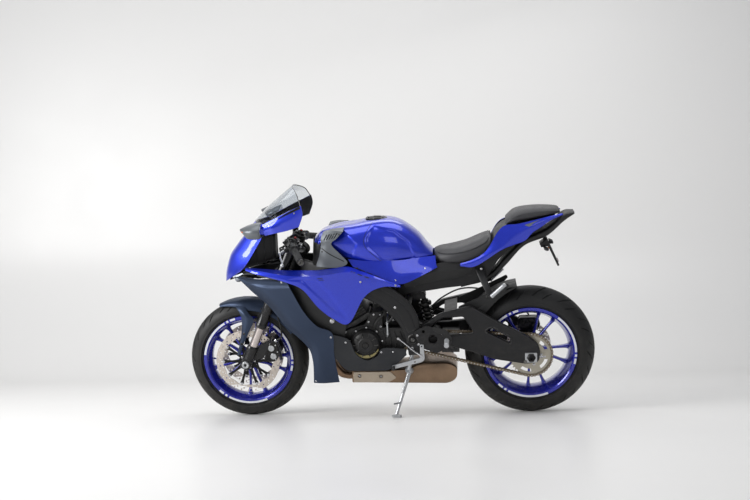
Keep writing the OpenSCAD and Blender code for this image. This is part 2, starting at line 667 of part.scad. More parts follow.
side_rows = [
  [[1362, 166, 799], [1300, 184, 796], [1165, 190, 786], [1080, 192, 784], [1010, 192, 784],
    [940, 190, 790], [868, 190, 797], [800, 198, 774], [710, 204, 738], [618, 203, 702]],
  [[1364, 178, 799], [1300, 222, 794], [1165, 256, 775], [1080, 262, 770], [1010, 262, 770],
    [940, 250, 774], [868, 238, 780], [795, 222, 762], [705, 210, 731], [618, 206, 699]],
  [[1365, 184, 795], [1300, 228, 786], [1162, 262, 756], [1080, 265, 735], [1011, 259, 695],
    [941, 246, 660], [869, 235, 650], [792, 223, 705], [706, 211, 714], [617, 207, 697]],
  [[1366, 188, 790], [1300, 231, 778], [1158, 263, 742], [1080, 263, 704], [1011, 251, 613],
    [941, 237, 551], [869, 228, 527], [790, 219, 653], [708, 210, 696], [616, 207, 694]]];
module side_fairing() {
  left_sheet(side_rows);
}
module side_fairing_left() {
  color([0.03, 0.08, 0.40]) side_fairing();
}
module side_fairing_right() {
  color([0.03, 0.08, 0.40]) mirror([0, 1, 0]) side_fairing();
}

// here each row runs down the cowl: front edge first, rear edge last
cowl_rows = [
  [[1421, 138, 749], [1340, 158, 672], [1269, 172, 612], [1179, 182, 500], [1085, 188, 405],
    [1060, 190, 330], [1062, 176, 214]],
  [[1330, 196, 748], [1270, 208, 682], [1205, 214, 612], [1128, 214, 512], [1050, 210, 432],
    [1015, 207, 345], [1010, 184, 214]],
  [[1165, 240, 742], [1138, 242, 696], [1084, 238, 589], [1024, 228, 514], [955, 216, 474],
    [950, 208, 360], [935, 176, 216]]];
belly_rows = [
  [[967, 214.5, 470], [905, 206, 452], [872, 203, 430], [845, 203, 366], [795, 203, 332],
    [742, 203, 352], [712, 201, 391], [604, 196, 384]],
  [[964, 209.8, 410], [920, 201, 360], [872, 200, 330], [845, 200, 305], [795, 200, 300],
    [742, 200, 305], [690, 198, 330], [602, 195, 368]],
  [[962, 206, 364], [905, 196, 290], [872, 195, 279], [845, 195, 276], [795, 195, 276], [742, 195, 277],
    [682, 195, 284], [600, 194, 353]]];
module lower_cowl() {
  union() {
    sheet(grid(cowl_rows, fine));
    left_sheet(belly_rows);
  }
}
module lower_cowl_left() {
  color([0.16, 0.18, 0.24]) lower_cowl();
}
module lower_cowl_right() {
  color([0.16, 0.18, 0.24]) mirror([0, 1, 0]) lower_cowl();
}

// half of the nose: each row runs from the side edge to the middle
nose_rows = [
  [[1289, 128.3, 998.6], [1318.5, 74, 1003.2], [1334.4, 0, 1005.2]],
  [[1284, 140, 944], [1366, 76, 945], [1388, 0, 942]],
  [[1318, 148, 885], [1412, 78, 886], [1436, 0, 884]],
  [[1352, 152, 832], [1446, 78, 838], [1468, 0, 838]],
  [[1380, 154, 796], [1474, 70, 764], [1492, 0, 764]],
  [[1404, 148, 775], [1484, 56, 715], [1500, 0, 704]]];
function whole(rows) = [for (r = rows) concat(r, [for (i = [len(r) - 2 : -1 : 0]) swap(r[i])])];
wing_rows = [
  [[1284, 150, 1002], [1215, 172, 1034], [1150, 182, 1066], [1078, 188, 1097]],
  [[1276, 158, 975], [1222, 180, 1000], [1150, 190, 1022], [1072, 192, 1052]],
  [[1266, 152, 950], [1225, 176, 962], [1150, 188, 978], [1092, 190, 996]]];
screen_rows = [
  [[1288, 128, 1000], [1318, 74, 1004], [1334, 0, 1006]],
  [[1228, 167, 1030], [1250, 108, 1066], [1268, 0, 1072]],
  [[1155, 178, 1064], [1178, 124, 1112], [1204, 0, 1124]],
  [[1082, 184, 1094], [1104, 130, 1142], [1141, 0, 1172]]];
module nose_cowl() {
  color([0.03, 0.08, 0.40]) {
    sheet(grid(whole(back(nose_rows)), fine));
    both() left_sheet(wing_rows);
  }
}
module windscreen() {
  color([0.55, 0.60, 0.65, 0.5]) sheet(grid(whole(back(screen_rows)), fine));
}
lamp_rows = [
  [[1462, 66, 748], [1396, 130, 782], [1300, 210, 784], [1202, 238, 758]],
  [[1470, 60, 716], [1418, 118, 738], [1308, 186, 738], [1204, 220, 736]]];
module headlamps() {
  color([0.04, 0.04, 0.05]) both() left_sheet(lamp_rows);
}
// reach of the lamp bar across and of the nose lugs ahead
lamp_seat = 175.7;
nose_seat = 89.4;
module cowl_stay() {
  color([0.05, 0.05, 0.05])
  union() {
    translate(fit([1195 + gap, -22, 800])) cube([8, 44, 34]);
    stay([1199, 0, 817], [1326, 0, 850], 15);
    translate(fit([1320, -66, 755])) cube([12, 132, 165]);
    across(1326, 765, 7, -lamp_seat, lamp_seat);
    both() translate(fit([1330, 60, 880])) rotate([0, 90, 0]) cylinder(r = 6, h = nose_seat);
    both() stay([1326, 50, 910], [1228, 50, 985], 7);
    translate(fit([1225, 0, 985])) rotate([0, -50, 0]) cube([80, 150, 22], center = true);
  }
}
duct_rows = [
  [[1150, 205, 735], [1080, 214, 706], [1011, 206, 630], [945, 196, 570], [880, 190, 540]],
  [[1140, 200, 690], [1070, 204, 600], [1010, 198, 530], [950, 192, 490], [885, 186, 465]]];
module inner_panels() {
  color([0.04, 0.04, 0.04]) both() left_sheet(duct_rows);
}

// half rings: columns x, top z, shoulder y, shoulder z, wide y, wide z, low y, low z, bottom z
tank_rows = [
  [1034, 925, 60, 920, 100, 905, 90, 890, 886],
  [1000, 950, 80, 945, 138, 915, 125, 880, 872],
  [930, 970, 95, 964, 150, 915, 140, 850, 842],
  [850, 981, 105, 972, 158, 915, 150, 826, 812],
  [769, 996, 110, 980, 162, 912, 160, 812, 796],
  [695, 1000, 105, 985, 160, 908, 158, 806, 790],
  [640, 992, 95, 977, 150, 900, 146, 806, 790],
  [586, 966, 85, 950, 132, 880, 128, 808, 792],
  [527, 918, 75, 905, 112, 860, 110, 812, 796],
  [492, 872, 66, 864, 98, 842, 96, 816, 802],
  [462, 838, 50, 834, 80, 828, 78, 818, 808]];
function ring(r) = [for (p = [[r[0], 0, r[1]], [r[0], r[2], r[3]], [r[0], r[4], r[5]], [r[0], r[6], r[7]],
  [r[0], r[6] * 0.5, r[8]], [r[0], 0, r[8]], [r[0], -r[6] * 0.5, r[8]], [r[0], -r[6], r[7]],
  [r[0], -r[4], r[5]], [r[0], -r[2], r[3]]]) fit(p)];
function closed(l, k) = let (n = len(l)) [for (i = [0 : n - 1]) for (j = [0 : k - 1])
  spline(l[(i + n - 1) % n], l[i], l[(i + 1) % n], l[(i + 2) % n], j / k)];
function body(rows) = [for (r = curve(rows, fine)) closed(ring(r), fine)];
cap_x = 735;
// height of the filler's top face, and distance of the lid's hinge pin ahead of its middle
cap_z = 997;
cap_hinge = 44;
module fuel_tank() {
  color([0.03, 0.08, 0.40])
  difference() {
    union() {
      loft(body(tank_rows));
      translate(fit([cap_x, 0, cap_z - 44])) cylinder(r = 50, h = 44);
      both() translate(fit([800, 157, 780 + gap])) cylinder(r = 7, h = 60);
      both() across(950, 880, 7, 120, 177.2);
    }
    translate(fit([cap_x, 0, cap_z])) cylinder(r = 50.5, h = 20);
  }
}
module fuel_cap() {
  color([0.10, 0.10, 0.10])
  union() {
    translate(fit([cap_x, 0, cap_z + gap])) cylinder(r = 40, h = 8);
    translate(fit([cap_x, 0, cap_z + gap]) + [36, -12, 0]) cube([cap_hinge - 36, 24, 8]);
    translate(fit([cap_x, 0, cap_z + gap]) + [cap_hinge, 0, 4.2]) axle(0, 0, 4, -12, 12);
  }
}
cover_rows = [
  [[868, 168, 806], [780, 172, 790], [690, 168, 786], [600, 150, 788], [520, 128, 792], [450, 108, 794]],
  [[845, 176, 795], [760, 182, 765], [680, 180, 748], [600, 166, 752], [520, 142, 768], [446, 116, 782]],
  [[835, 178, 790], [740, 186, 742], [660, 186, 712], [600, 176, 704], [515, 152, 736], [440, 124, 770]]];
module side_covers() {
  color([0.03, 0.08, 0.40]) both() left_sheet(cover_rows);
}
intake_rows = [
  [[1000, 140, 962], [950, 152, 968], [890, 160, 962]],
  [[1006, 166, 915], [950, 176, 912], [905, 172, 905]],
  [[1004, 176, 860], [950, 186, 850], [885, 184, 838]],
  [[998, 182, 800], [950, 190, 803], [878, 188, 808]]];
module intake_covers() {
  color([0.28, 0.28, 0.30]) both() left_sheet(intake_rows);
}

seat_rows = [
  [456, 842, 40, 838, 66, 826, 64, 808, 800],
  [432, 846, 60, 842, 92, 822, 88, 790, 784],
  [377, 848, 80, 846, 120, 826, 112, 788, 782],
  [300, 862, 92, 862, 132, 838, 120, 796, 788],
  [230, 892, 92, 890, 128, 862, 116, 822, 812],
  [180, 915, 84, 910, 112, 888, 100, 858, 848]];
module rider_seat() {
  color([0.05, 0.05, 0.05]) loft(body(seat_rows));
}
pillion_rows = [
  [106, 985, 56, 982, 84, 970, 80, 956, 952],
  [60, 1022, 70, 1016, 98, 998, 92, 976, 972],
  [-17, 1033, 72, 1028, 98, 1008, 92, 988, 984],
  [-100, 1031, 66, 1028, 88, 1016, 84, 1002, 998],
  [-154, 1026, 50, 1024, 70, 1018, 66, 1010, 1006]];
module pillion_seat() {
  color([0.05, 0.05, 0.05]) loft(body(pillion_rows));
}
tail_rows = [
  [[330, 132, 786], [258, 134, 810], [200, 128, 850], [150, 118, 930], [112, 108, 962], [50, 108, 968],
    [-30, 104, 984], [-100, 94, 998], [-160, 80, 1008]],
  [[330, 138, 780], [257, 144, 796], [180, 140, 840], [110, 132, 890], [60, 126, 925], [0, 120, 950],
    [-50, 112, 970], [-104, 100, 990], [-164, 82, 1006]],
  [[329, 138, 774], [256, 142, 774], [137, 138, 846], [80, 132, 868], [20, 122, 888], [-19, 114, 925],
    [-60, 108, 950], [-108, 98, 980], [-166, 82, 1002]]];
module tail_cowl() {
  color([0.03, 0.08, 0.40]) both() left_sheet(tail_rows);
}
rail = [[660, 606, 12], [656, 640, 14], [578, 704, 20], [440, 762, 20], [310, 768, 20], [215, 795, 20],
  [150, 845, 20], [-70, 968, 8],
  [-70, 944, 8], [50, 876, 20], [150, 786, 20], [200, 706, 20], [330, 662, 20], [400, 656, 20],
  [600, 628, 20]];
// height of the undertray's top below the rear cross tube
tray_seat = 894;
module subframe() {
  color([0.05, 0.05, 0.06])
  union() {
    both() slab(rail, 64, 78);
    both() across(645, 620, 9, 70, 163.9);
    across(560, 680, 12, -100, 100);
    across(420, 700, 10, -70, 70);
    across(230, 790, 10, -70, 70);
    across(0, 930, 8, -70, 70);
    both() translate(fit([350, 71, 740])) cylinder(r = 6, h = 42.6);
    both() translate(fit([10, 71, 900])) cylinder(r = 6, h = 79.6);
    both() across(292, 777, 5, 70, 137.4);
    both() across(-20, 938, 5, 70, 110.9);
    translate(fit([0, 0, tray_seat])) cylinder(r = 6, h = 930 - tray_seat);
  }
}
tray_rows = [
  [330, 664, 40, 664, 60, 662, 56, 652, 650],
  [190, 715, 40, 715, 60, 710, 56, 690, 686],
  [110, 800, 40, 800, 60, 790, 56, 760, 754],
  [20, 880, 44, 880, 60, 872, 54, 852, 846],
  [-90, 935, 50, 935, 70, 925, 60, 900, 892],
  [-170, 1000, 50, 1000, 66, 990, 60, 968, 960],
  [-222, 1008, 40, 1008, 52, 1004, 46, 998, 996]];
module undertray() {
  color([0.04, 0.04, 0.04]) loft(body(tray_rows));
}
module plate_hanger() {
  color([0.04, 0.04, 0.04])
  union() {
    slab([[-50, 847, 4], [-92, 884, 6], [-150, 745, 6], [-132, 738, 6], [-88, 800, 6],
      [-60, 800, 6]], -40, 40);
    translate(fit([-80, 0, 840])) cylinder(r = 6, h = 45.2);
  }
}
module mirrors() {
  color([0.16, 0.16, 0.18]) both() {
    across(1298, 968, 7, 133.9, 165);
    stay([1298, 158, 968], [1300, 262, 1000], 8);
    translate([0, 292, 0])
      loft(body([[1352, 1012, 6, 1010, 12, 1005, 8, 998, 996], [1330, 1036, 20, 1030, 46, 1010, 34, 986, 982],
        [1300, 1046, 26, 1040, 58, 1012, 42, 982, 978], [1262, 1044, 24, 1038, 56, 1010, 40, 980, 976]]));
  }
}
module footrests() {
  color([0.10, 0.10, 0.11]) both() {
    union() {
      difference() {
        slab([[560, 470, 12], [500, 500, 14], [400, 462, 14], [378, 420, 14], [390, 392, 10],
          [452, 360, 14], [535, 390, 12]], 188 + gap, 200);
        across(470, 430, 22, 180, 210);
      }
      across(404, 424, 11, 190, 292);
      slab([[534, 408, 5], [516, 408, 5], [512, 334, 8], [526, 320, 8], [662, 288, 6], [672, 304, 6],
        [534, 342, 8]], 198, 208);
      across(664, 296, 8, 203, 240);
    }
    union() {
      ribbon([[246, 83.9, 788, 44], [243, 83.9, 770, 44], [237, 92, 748, 42], [224, 122, 712, 36],
        [205, 158, 668, 30], [186, 171, 630, 24]], 10);
      stay([186, 180, 630], [118, 184, 692], 11);
    }
  }
}
module side_stand() {
  color([0.60, 0.60, 0.60])
  difference() {
    union() {
      rod(stand_pivot - 9 * stand_axis, stand_pivot + 9 * stand_axis, 18);
      rod(stand_pivot, stand_foot, 8.5);
      translate(stand_foot) rotate([lean, 0, 0]) translate([-24, -22, -14]) cube([48, 44, 12]);
    }
    rod(stand_pivot - 20 * stand_axis, stand_pivot + 20 * stand_axis, 8 + gap);
  }
}

// Stance

origin_x = 692.7;
origin_y = 188.5;
module parked() {
  translate([(drawn_base - wheelbase) / 2 - origin_x, -origin_y, drop(rear_tyre_w)])
    rotate([0, pitch, 0])
      rotate([-lean, 0, 0]) children();
}

parked() main_frame();
parked() subframe();
parked() engine();
parked() radiator();
parked() exhaust_headers();
parked() exhaust_silencer();
parked() swingarm();
parked() rear_axle();
parked() rear_shock();
parked() drive_chain();
parked() rear_hugger();
parked() rear_caliper();
parked() fuel_tank();
parked() fuel_cap();
parked() side_covers();
parked() intake_covers();
parked() rider_seat();
parked() pillion_seat();
parked() tail_cowl();
parked() undertray();
parked() plate_hanger();
parked() cowl_stay();
parked() nose_cowl();
parked() windscreen();
parked() headlamps();
parked() side_fairing_left();
parked() side_fairing_right();
parked() lower_cowl_left();
parked() lower_cowl_right();
parked() inner_panels();
parked() mirrors();
parked() footrests();
parked() fork_legs();
parked() triple_clamps();
parked() handlebars();
parked() front_mudguard();
parked() front_calipers();
parked() front_axle();
parked() front_rim();
parked() front_tyre();
parked() front_discs();
parked() rear_rim();
parked() rear_tyre();
parked() rear_sprocket();
parked() rear_disc();
parked() side_stand();
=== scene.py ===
# %% [markdown]
# # A sport bike on its side stand
# This lesson dresses a packed mechanical model of a faired motorcycle. The frame that we load already holds
# every solid at its place and knows what steers, spins and folds. We lay painted panels, wheels, a chain,
# brakes and small fittings over it, in metres, and never move what was loaded.

# %% Load the frame
import math

import bmesh
import bpy
from mathutils import Matrix, Vector
from mathutils.bvhtree import BVHTree


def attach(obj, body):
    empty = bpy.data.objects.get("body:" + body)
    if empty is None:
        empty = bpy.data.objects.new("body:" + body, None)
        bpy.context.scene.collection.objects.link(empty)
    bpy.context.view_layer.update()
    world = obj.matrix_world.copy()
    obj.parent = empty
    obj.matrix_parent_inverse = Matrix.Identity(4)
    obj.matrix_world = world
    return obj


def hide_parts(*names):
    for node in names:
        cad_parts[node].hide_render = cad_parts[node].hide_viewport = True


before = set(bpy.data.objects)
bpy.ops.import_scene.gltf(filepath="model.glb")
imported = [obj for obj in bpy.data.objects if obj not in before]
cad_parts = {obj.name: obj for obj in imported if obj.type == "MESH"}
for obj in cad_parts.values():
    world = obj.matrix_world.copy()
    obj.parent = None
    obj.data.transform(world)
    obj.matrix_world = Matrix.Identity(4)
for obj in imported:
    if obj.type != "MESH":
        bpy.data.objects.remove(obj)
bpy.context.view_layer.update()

# %% [markdown]
# A designer draws a motorcycle upright and in millimetres, but this one is parked, so it leans on its
# stand. We could model every piece leaning. It is far easier to keep the drawing upright, with X forward
# from the rear axle, Y to the rider's left and Z up, and to let one matrix lean, shrink and place it.

# %% Frames of the bike, the fork and the wheels
LEAN = math.radians(13)
WHEELBASE, FRONT_R, REAR_R = 1405, 300, 320
FRONT_W, REAR_W = 120, 190
RAKE = math.radians(24)
ORIGIN = (692.7, 188.5)


def sink(width):
    """How far a leaning tyre of this width comes down onto its shoulder."""
    return width / 2 * (1 - math.cos(LEAN))


NOSE_DOWN = math.asin((sink(REAR_W) - sink(FRONT_W)) / WHEELBASE)
BIKE = (Matrix.Scale(0.001, 4) @ Matrix.Translation((-ORIGIN[0], -ORIGIN[1], sink(REAR_W)))
    @ Matrix.Rotation(NOSE_DOWN, 4, "Y") @ Matrix.Rotation(-LEAN, 4, "X"))
FRONT = BIKE @ Matrix.Translation((WHEELBASE, 0, FRONT_R))
REAR = BIKE @ Matrix.Translation((0, 0, REAR_R))
FORK = FRONT @ Matrix.Rotation(-RAKE, 4, "Y")
print("front axle at", tuple(round(v, 3) for v in FRONT.translation))

# %% [markdown]
# The camera stands level with the tank and nearly six metres off on the left side. Its place came from
# matching both wheels' outlines. A long lens keeps the wheels round.

# %% Camera
VIEW_AT = Vector((-0.4132, 5.6533, 0.6342))
YAW, PITCH, ROLL = math.radians(4.75), math.radians(1.853), math.radians(-1.28)
FOCAL_PX, FRAME_PX = 1150, 750
ahead = Vector((math.sin(YAW) * math.cos(PITCH), -math.cos(YAW) * math.cos(PITCH), math.sin(PITCH)))
right = Vector((-math.cos(YAW), -math.sin(YAW), 0))
up = right.cross(ahead)
right, up = (math.cos(ROLL) * right + math.sin(ROLL) * up, math.cos(ROLL) * up - math.sin(ROLL) * right)
lens = bpy.data.cameras.new("camera")
lens.sensor_width = 36
lens.lens = 36 * FOCAL_PX / FRAME_PX
camera = bpy.data.objects.new("camera", lens)
camera.matrix_world = Matrix((right, up, -ahead)).transposed().to_4x4()
camera.matrix_world.translation = VIEW_AT
bpy.context.scene.collection.objects.link(camera)
bpy.context.scene.camera = camera
bpy.context.scene.view_settings.view_transform = "Standard"
print("lens", round(lens.lens, 1), "mm")

# %% [markdown]
# Every piece goes through the same last steps: place it, turn its faces outward, give it a wall and soft
# edges, a finish, and a body to ride on. Modifiers do the wall and the edges, so a panel stays a simple
# grid that can still be edited. A small bevel matters most of all: it catches the light as real edges do.

# %% Make a piece
scene_root = bpy.context.scene.collection


def piece(name, verts, faces, body, finish, place=BIKE, wall=0, edge=0, rounds=2, sharp=32, both=False,
    core=None, subdivide=0, stands_for=()):
    """Makes one object from points in millimetres. core is a point inside, for open sheets."""
    form = bmesh.new()
    points = [form.verts.new(v) for v in verts]
    for f in faces:
        if len(set(f)) > 2:
            form.faces.new([points[i] for i in f])
    if both:
        copy = bmesh.ops.duplicate(form, geom=form.verts[:] + form.edges[:] + form.faces[:])["geom"]
        for v in copy:
            if isinstance(v, bmesh.types.BMVert):
                v.co.y = -v.co.y
        bmesh.ops.reverse_faces(form, faces=[f for f in copy if isinstance(f, bmesh.types.BMFace)])
    if core is None:
        bmesh.ops.recalc_face_normals(form, faces=form.faces)
    else:
        form.normal_update()
        inside = Vector(core)
        lean_out = sum(f.normal.dot(f.calc_center_median() - inside) * f.calc_area() for f in form.faces)
        if lean_out < 0:
            bmesh.ops.reverse_faces(form, faces=form.faces)
    bmesh.ops.transform(form, matrix=place, verts=form.verts)
    mesh = bpy.data.meshes.new(name)
    form.to_mesh(mesh)
    form.free()
    mesh.shade_smooth()
    mesh.set_sharp_from_angle(angle=math.radians(sharp))
    thing = bpy.data.objects.new(name, mesh)
    scene_root.objects.link(thing)
    if wall:
        shell = thing.modifiers.new("wall", "SOLIDIFY")
        shell.thickness, shell.offset, shell.use_even_offset = wall * 0.001, -1, True
    if edge:
        soft = thing.modifiers.new("edge", "BEVEL")
        soft.width, soft.segments = edge * 0.001, rounds
        soft.limit_method, soft.angle_limit, soft.harden_normals = "ANGLE", math.radians(sharp), True
    if subdivide:
        finer = thing.modifiers.new("finer", "SUBSURF")
        finer.levels = finer.render_levels = subdivide
    mesh.materials.append(finish)
    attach(thing, body)
    if stands_for:
        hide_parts(*stands_for)
    return thing


# %% [markdown]
# Bodywork follows a few drawn lines. A smooth curve goes through every drawn point, so a short table of
# sections is enough. Where a real panel has a crease, the curve is cut there and starts afresh, which
# leaves a clean fold instead of a soft bump.

# %% Smooth lines, grids and lofts
def line(points, steps, folds=()):
    """A curve through the points with so many steps to a span; it turns sharply at the folds."""
    points = [Vector(p) for p in points]
    cuts = [0, *sorted(folds), len(points) - 1]
    found = []
    for a, b in zip(cuts, cuts[1:]):
        part = points[a:b + 1]
        part = [2 * part[0] - part[1], *part, 2 * part[-1] - part[-2]]
        for p, q, r, s in zip(part, part[1:], part[2:], part[3:]):
            for t in (i / steps for i in range(steps)):
                found.append(0.5 * (2 * q + (r - p) * t + (2 * p - 5 * q + 4 * r - s) * t * t
                    + (3 * q - p - 3 * r + s) * t ** 3))
    return found + [points[-1]]


def grid(rows, steps=6, folds=(), across=None, row_folds=()):
    """Points and faces of a sheet through the rows; folds run along it, row_folds across it."""
    lines = [line(r, steps, row_folds) for r in rows]
    columns = [line([l[i] for l in lines], across or steps, folds) for i in range(len(lines[0]))]
    n = len(columns[0])
    faces = [(i * n + j, i * n + j + 1, (i + 1) * n + j + 1, (i + 1) * n + j)
        for i in range(len(columns) - 1) for j in range(n - 1)]
    return [p for c in columns for p in c], faces


def loft(rings, capped=True, closed=False):
    """Points and faces of a skin over rings of equal length; closed joins the last ring to the first."""
    n, m = len(rings[0]), len(rings)
    faces = [(i * n + j, i * n + (j + 1) % n, (i + 1) % m * n + (j + 1) % n, (i + 1) % m * n + j)
        for i in range(m if closed else m - 1) for j in range(n)]
    if capped and not closed:
        faces += [tuple(range(n)), tuple(range((m - 1) * n, m * n))]
    return [Vector(p) for r in rings for p in r], faces


def ring_line(points, steps):
    """A closed smooth curve through the points."""
    n = len(points)
    long = [points[i % n] for i in range(-2, n + 3)]
    return line(long, steps)[2 * steps:(n + 2) * steps]


def lathe(profile, turns=64, angle=360):
    """Points and faces of a profile of (radius, y) pairs turned round the Y axis."""
    whole = angle == 360
    spokes = [math.radians(angle * i / turns) for i in range(turns + (not whole))]
    rings = [[(r * math.cos(a), y, r * math.sin(a)) for r, y in profile] for a in spokes]
    return loft(rings, capped=not whole, closed=whole)


def tube(path, radius, sides=10, steps=4):
    """Points and faces of a round bar along a smooth path; radius is a number or one for each point."""
    radii = radius if isinstance(radius, (list, tuple)) else [radius] * len(path)
    way = line([(*p, r) for p, r in zip(path, radii)], steps) if steps else [Vector((*p, r)) for p,
        r in zip(path, radii)]
    rings, side = [], None
    for i, p in enumerate(way):
        d = (way[min(i + 1, len(way) - 1)].xyz - way[max(i - 1, 0)].xyz).normalized()
        side = (side - side.dot(d) * d if side else d.orthogonal()).normalized()
        other = d.cross(side)
        rings.append([p.xyz + p.w * (math.cos(a) * side + math.sin(a) * other)
            for a in (2 * math.pi * k / sides for k in range(sides))])
    return loft(rings)


def merged(*parts):
    """Several (points, faces) pairs as one."""
    points, faces = [], []
    for p, f in parts:
        faces += [tuple(i + len(points) for i in g) for g in f]
        points += [Vector(v) for v in p]
    return points, faces


def moved(part, matrix):
    return [matrix @ Vector(p) for p in part[0]], part[1]


def flipped(part):
    """The same piece on the other side of the bike."""
    return [Vector((p[0], -p[1], p[2])) for p in part[0]], [tuple(reversed(f)) for f in part[1]]


print("tools for lines, sheets, lofts, lathes and tubes are ready")

# %% [markdown]
# Flat parts such as discs, sprockets and brackets are cut from plate, often with many holes. A boolean for
# each hole is slow and leaves poor faces. A filled two-dimensional curve takes any number of outlines, cuts
# the inner ones out by itself, and gives the plate its thickness and a chamfer.

# %% Plates with holes, and corners with a radius
def outline(corners, steps=4):
    """A closed outline from corners of x, z and corner radius."""
    found = []
    for i, (x, z, r) in enumerate(corners):
        here, last = Vector((x, z)), Vector(corners[i - 1][:2])
        after = Vector(corners[(i + 1) % len(corners)][:2])
        d = min(r, (last - here).length / 2.05, (after - here).length / 2.05)
        p, q = here + (last - here).normalized() * d, here + (after - here).normalized() * d
        for t in ([k / steps for k in range(steps + 1)] if d > 0 else [0]):
            found.append((1 - t) ** 2 * p + 2 * t * (1 - t) * here + t * t * q)
    return found


def circle(x, z, r, n=24, start=0):
    return [(x + r * math.cos(start + 2 * math.pi * k / n), z + r * math.sin(start + 2 * math.pi * k / n))
        for k in range(n)]


def plate(outlines, y0, y1, edge=0.6):
    """Points and faces of a plate: outlines of x and z, holes among them, standing between y0 and y1."""
    shape = bpy.data.curves.new("plate", "CURVE")
    shape.dimensions, shape.fill_mode = "2D", "BOTH"
    shape.extrude, shape.bevel_depth, shape.bevel_resolution = (y1 - y0) / 2 - edge, edge, 1
    shape.offset = -edge
    for o in outlines:
        s = shape.splines.new("POLY")
        s.points.add(len(o) - 1)
        for k, p in enumerate(o):
            s.points[k].co = (p[0], p[1], 0, 1)
        s.use_cyclic_u = True
    thing = bpy.data.objects.new("plate", shape)
    scene_root.objects.link(thing)
    mesh = bpy.data.meshes.new_from_object(thing.evaluated_get(bpy.context.evaluated_depsgraph_get()))
    found = ([Vector((v.co.x, (y0 + y1) / 2 - v.co.z, v.co.y)) for v in mesh.vertices],
        [tuple(f.vertices) for f in mesh.polygons])
    bpy.data.objects.remove(thing)
    bpy.data.meshes.remove(mesh)
    bpy.data.curves.remove(shape)
    return found


def facing(point, axis):
    """A matrix that stands a Y-turned part at the point with its Y along the axis."""
    return Matrix.Translation(point) @ Vector((0, 1,
        0)).rotation_difference(Vector(axis)).to_matrix().to_4x4()


def turned(profile, point, axis=(0, 1, 0), turns=24):
    """A lathe part standing at a point, its axis along a direction."""
    return moved(lathe(profile, turns), facing(point, axis))


def cap_bolt(point, axis, r=5.0, tall=4.0):
    """The head of a socket screw: chamfered rim, sunk socket."""
    return turned([(0.01, tall * 0.35), (0.5 * r, tall * 0.35), (0.55 * r, tall), (0.85 * r, tall),
        (r, tall * 0.8), (r, -1), (0.01, -1)], point, axis, 14)


def hex_bolt(point, axis, r=7.0, tall=5.0):
    """The head of a hexagon bolt on its washer face."""
    head = turned([(0.01, tall), (0.8 * r, tall), (r, tall * 0.8), (r, 1), (0.01, 1)], point, axis, 6)
    return merged(head, turned([(0.01, 1.2), (1.25 * r, 1.2), (1.25 * r, -1), (0.01, -1)], point, axis, 18))


print("tools for plates, turned parts and bolts are ready")

# %% [markdown]
# Real surfaces are never one even colour. We build a few effects once, as shader groups that put out only
# colours, masks and heights: fine mottling, moulded grain, rubbed edges, road dust that lies low on the
# machine, and metal flake. Each material then mixes them with its own values and keeps its own shader.

# %% Shader groups
def group(name, inputs, outputs):
    """A new node group with named sockets; returns it with its two end nodes."""
    g = bpy.data.node_groups.new(name, "ShaderNodeTree")
    for label, kind, start in inputs:
        s = g.interface.new_socket(label, in_out="INPUT", socket_type=kind)
        s.default_value = start
    for label, kind in outputs:
        g.interface.new_socket(label, in_out="OUTPUT", socket_type=kind)
    return g, g.nodes.new("NodeGroupInput"), g.nodes.new("NodeGroupOutput")


def node(tree, kind, links=(), **values):
    """Adds a node, sets its properties and numbered inputs, and links sockets into it."""
    n = tree.nodes.new(kind)
    for k, v in values.items():
        setattr(n, k, v)
    for socket, source in links:
        if isinstance(source, bpy.types.NodeSocket):
            tree.links.new(source, n.inputs[socket])
        else:
            n.inputs[socket].default_value = source
    return n


def mixed(tree, factor, first, second):
    """The output of a colour mix; its colour sockets are numbers 6 and 7, and its colour result is 2."""
    return node(tree, "ShaderNodeMix", [(0, factor), (6, first), (7, second)], data_type="RGBA").outputs[2]


FLOAT, COLOUR = "NodeSocketFloat", "NodeSocketColor"

mottle, begin, end = group("mottle", [("Scale", FLOAT, 40.0), ("Low", FLOAT, 0.3), ("High", FLOAT, 0.5)],
    [("Value", FLOAT), ("Mask", FLOAT)])
where = node(mottle, "ShaderNodeTexCoord")
cloud = node(mottle, "ShaderNodeTexNoise", [("Vector", where.outputs["Object"]),
    ("Scale", begin.outputs["Scale"]), ("Detail", 5.0), ("Roughness", 0.6)])
spread = node(mottle, "ShaderNodeMapRange", [("Value", cloud.outputs["Fac"]), ("From Min", 0.3),
    ("From Max", 0.7), ("To Min", begin.outputs["Low"]), ("To Max", begin.outputs["High"])])
mottle.links.new(spread.outputs["Result"], end.inputs["Value"])
mottle.links.new(cloud.outputs["Fac"], end.inputs["Mask"])

grain, begin, end = group("moulded_grain", [("Scale", FLOAT, 600.0), ("Softness", FLOAT, 0.4)],
    [("Height", FLOAT)])
where = node(grain, "ShaderNodeTexCoord")
cells = node(grain, "ShaderNodeTexVoronoi", [("Vector", where.outputs["Object"]),
    ("Scale", begin.outputs["Scale"])], feature="DISTANCE_TO_EDGE")
flat = node(grain, "ShaderNodeMapRange", [("Value", cells.outputs["Distance"]),
    ("From Max", begin.outputs["Softness"])])
grain.links.new(flat.outputs["Result"], end.inputs["Height"])

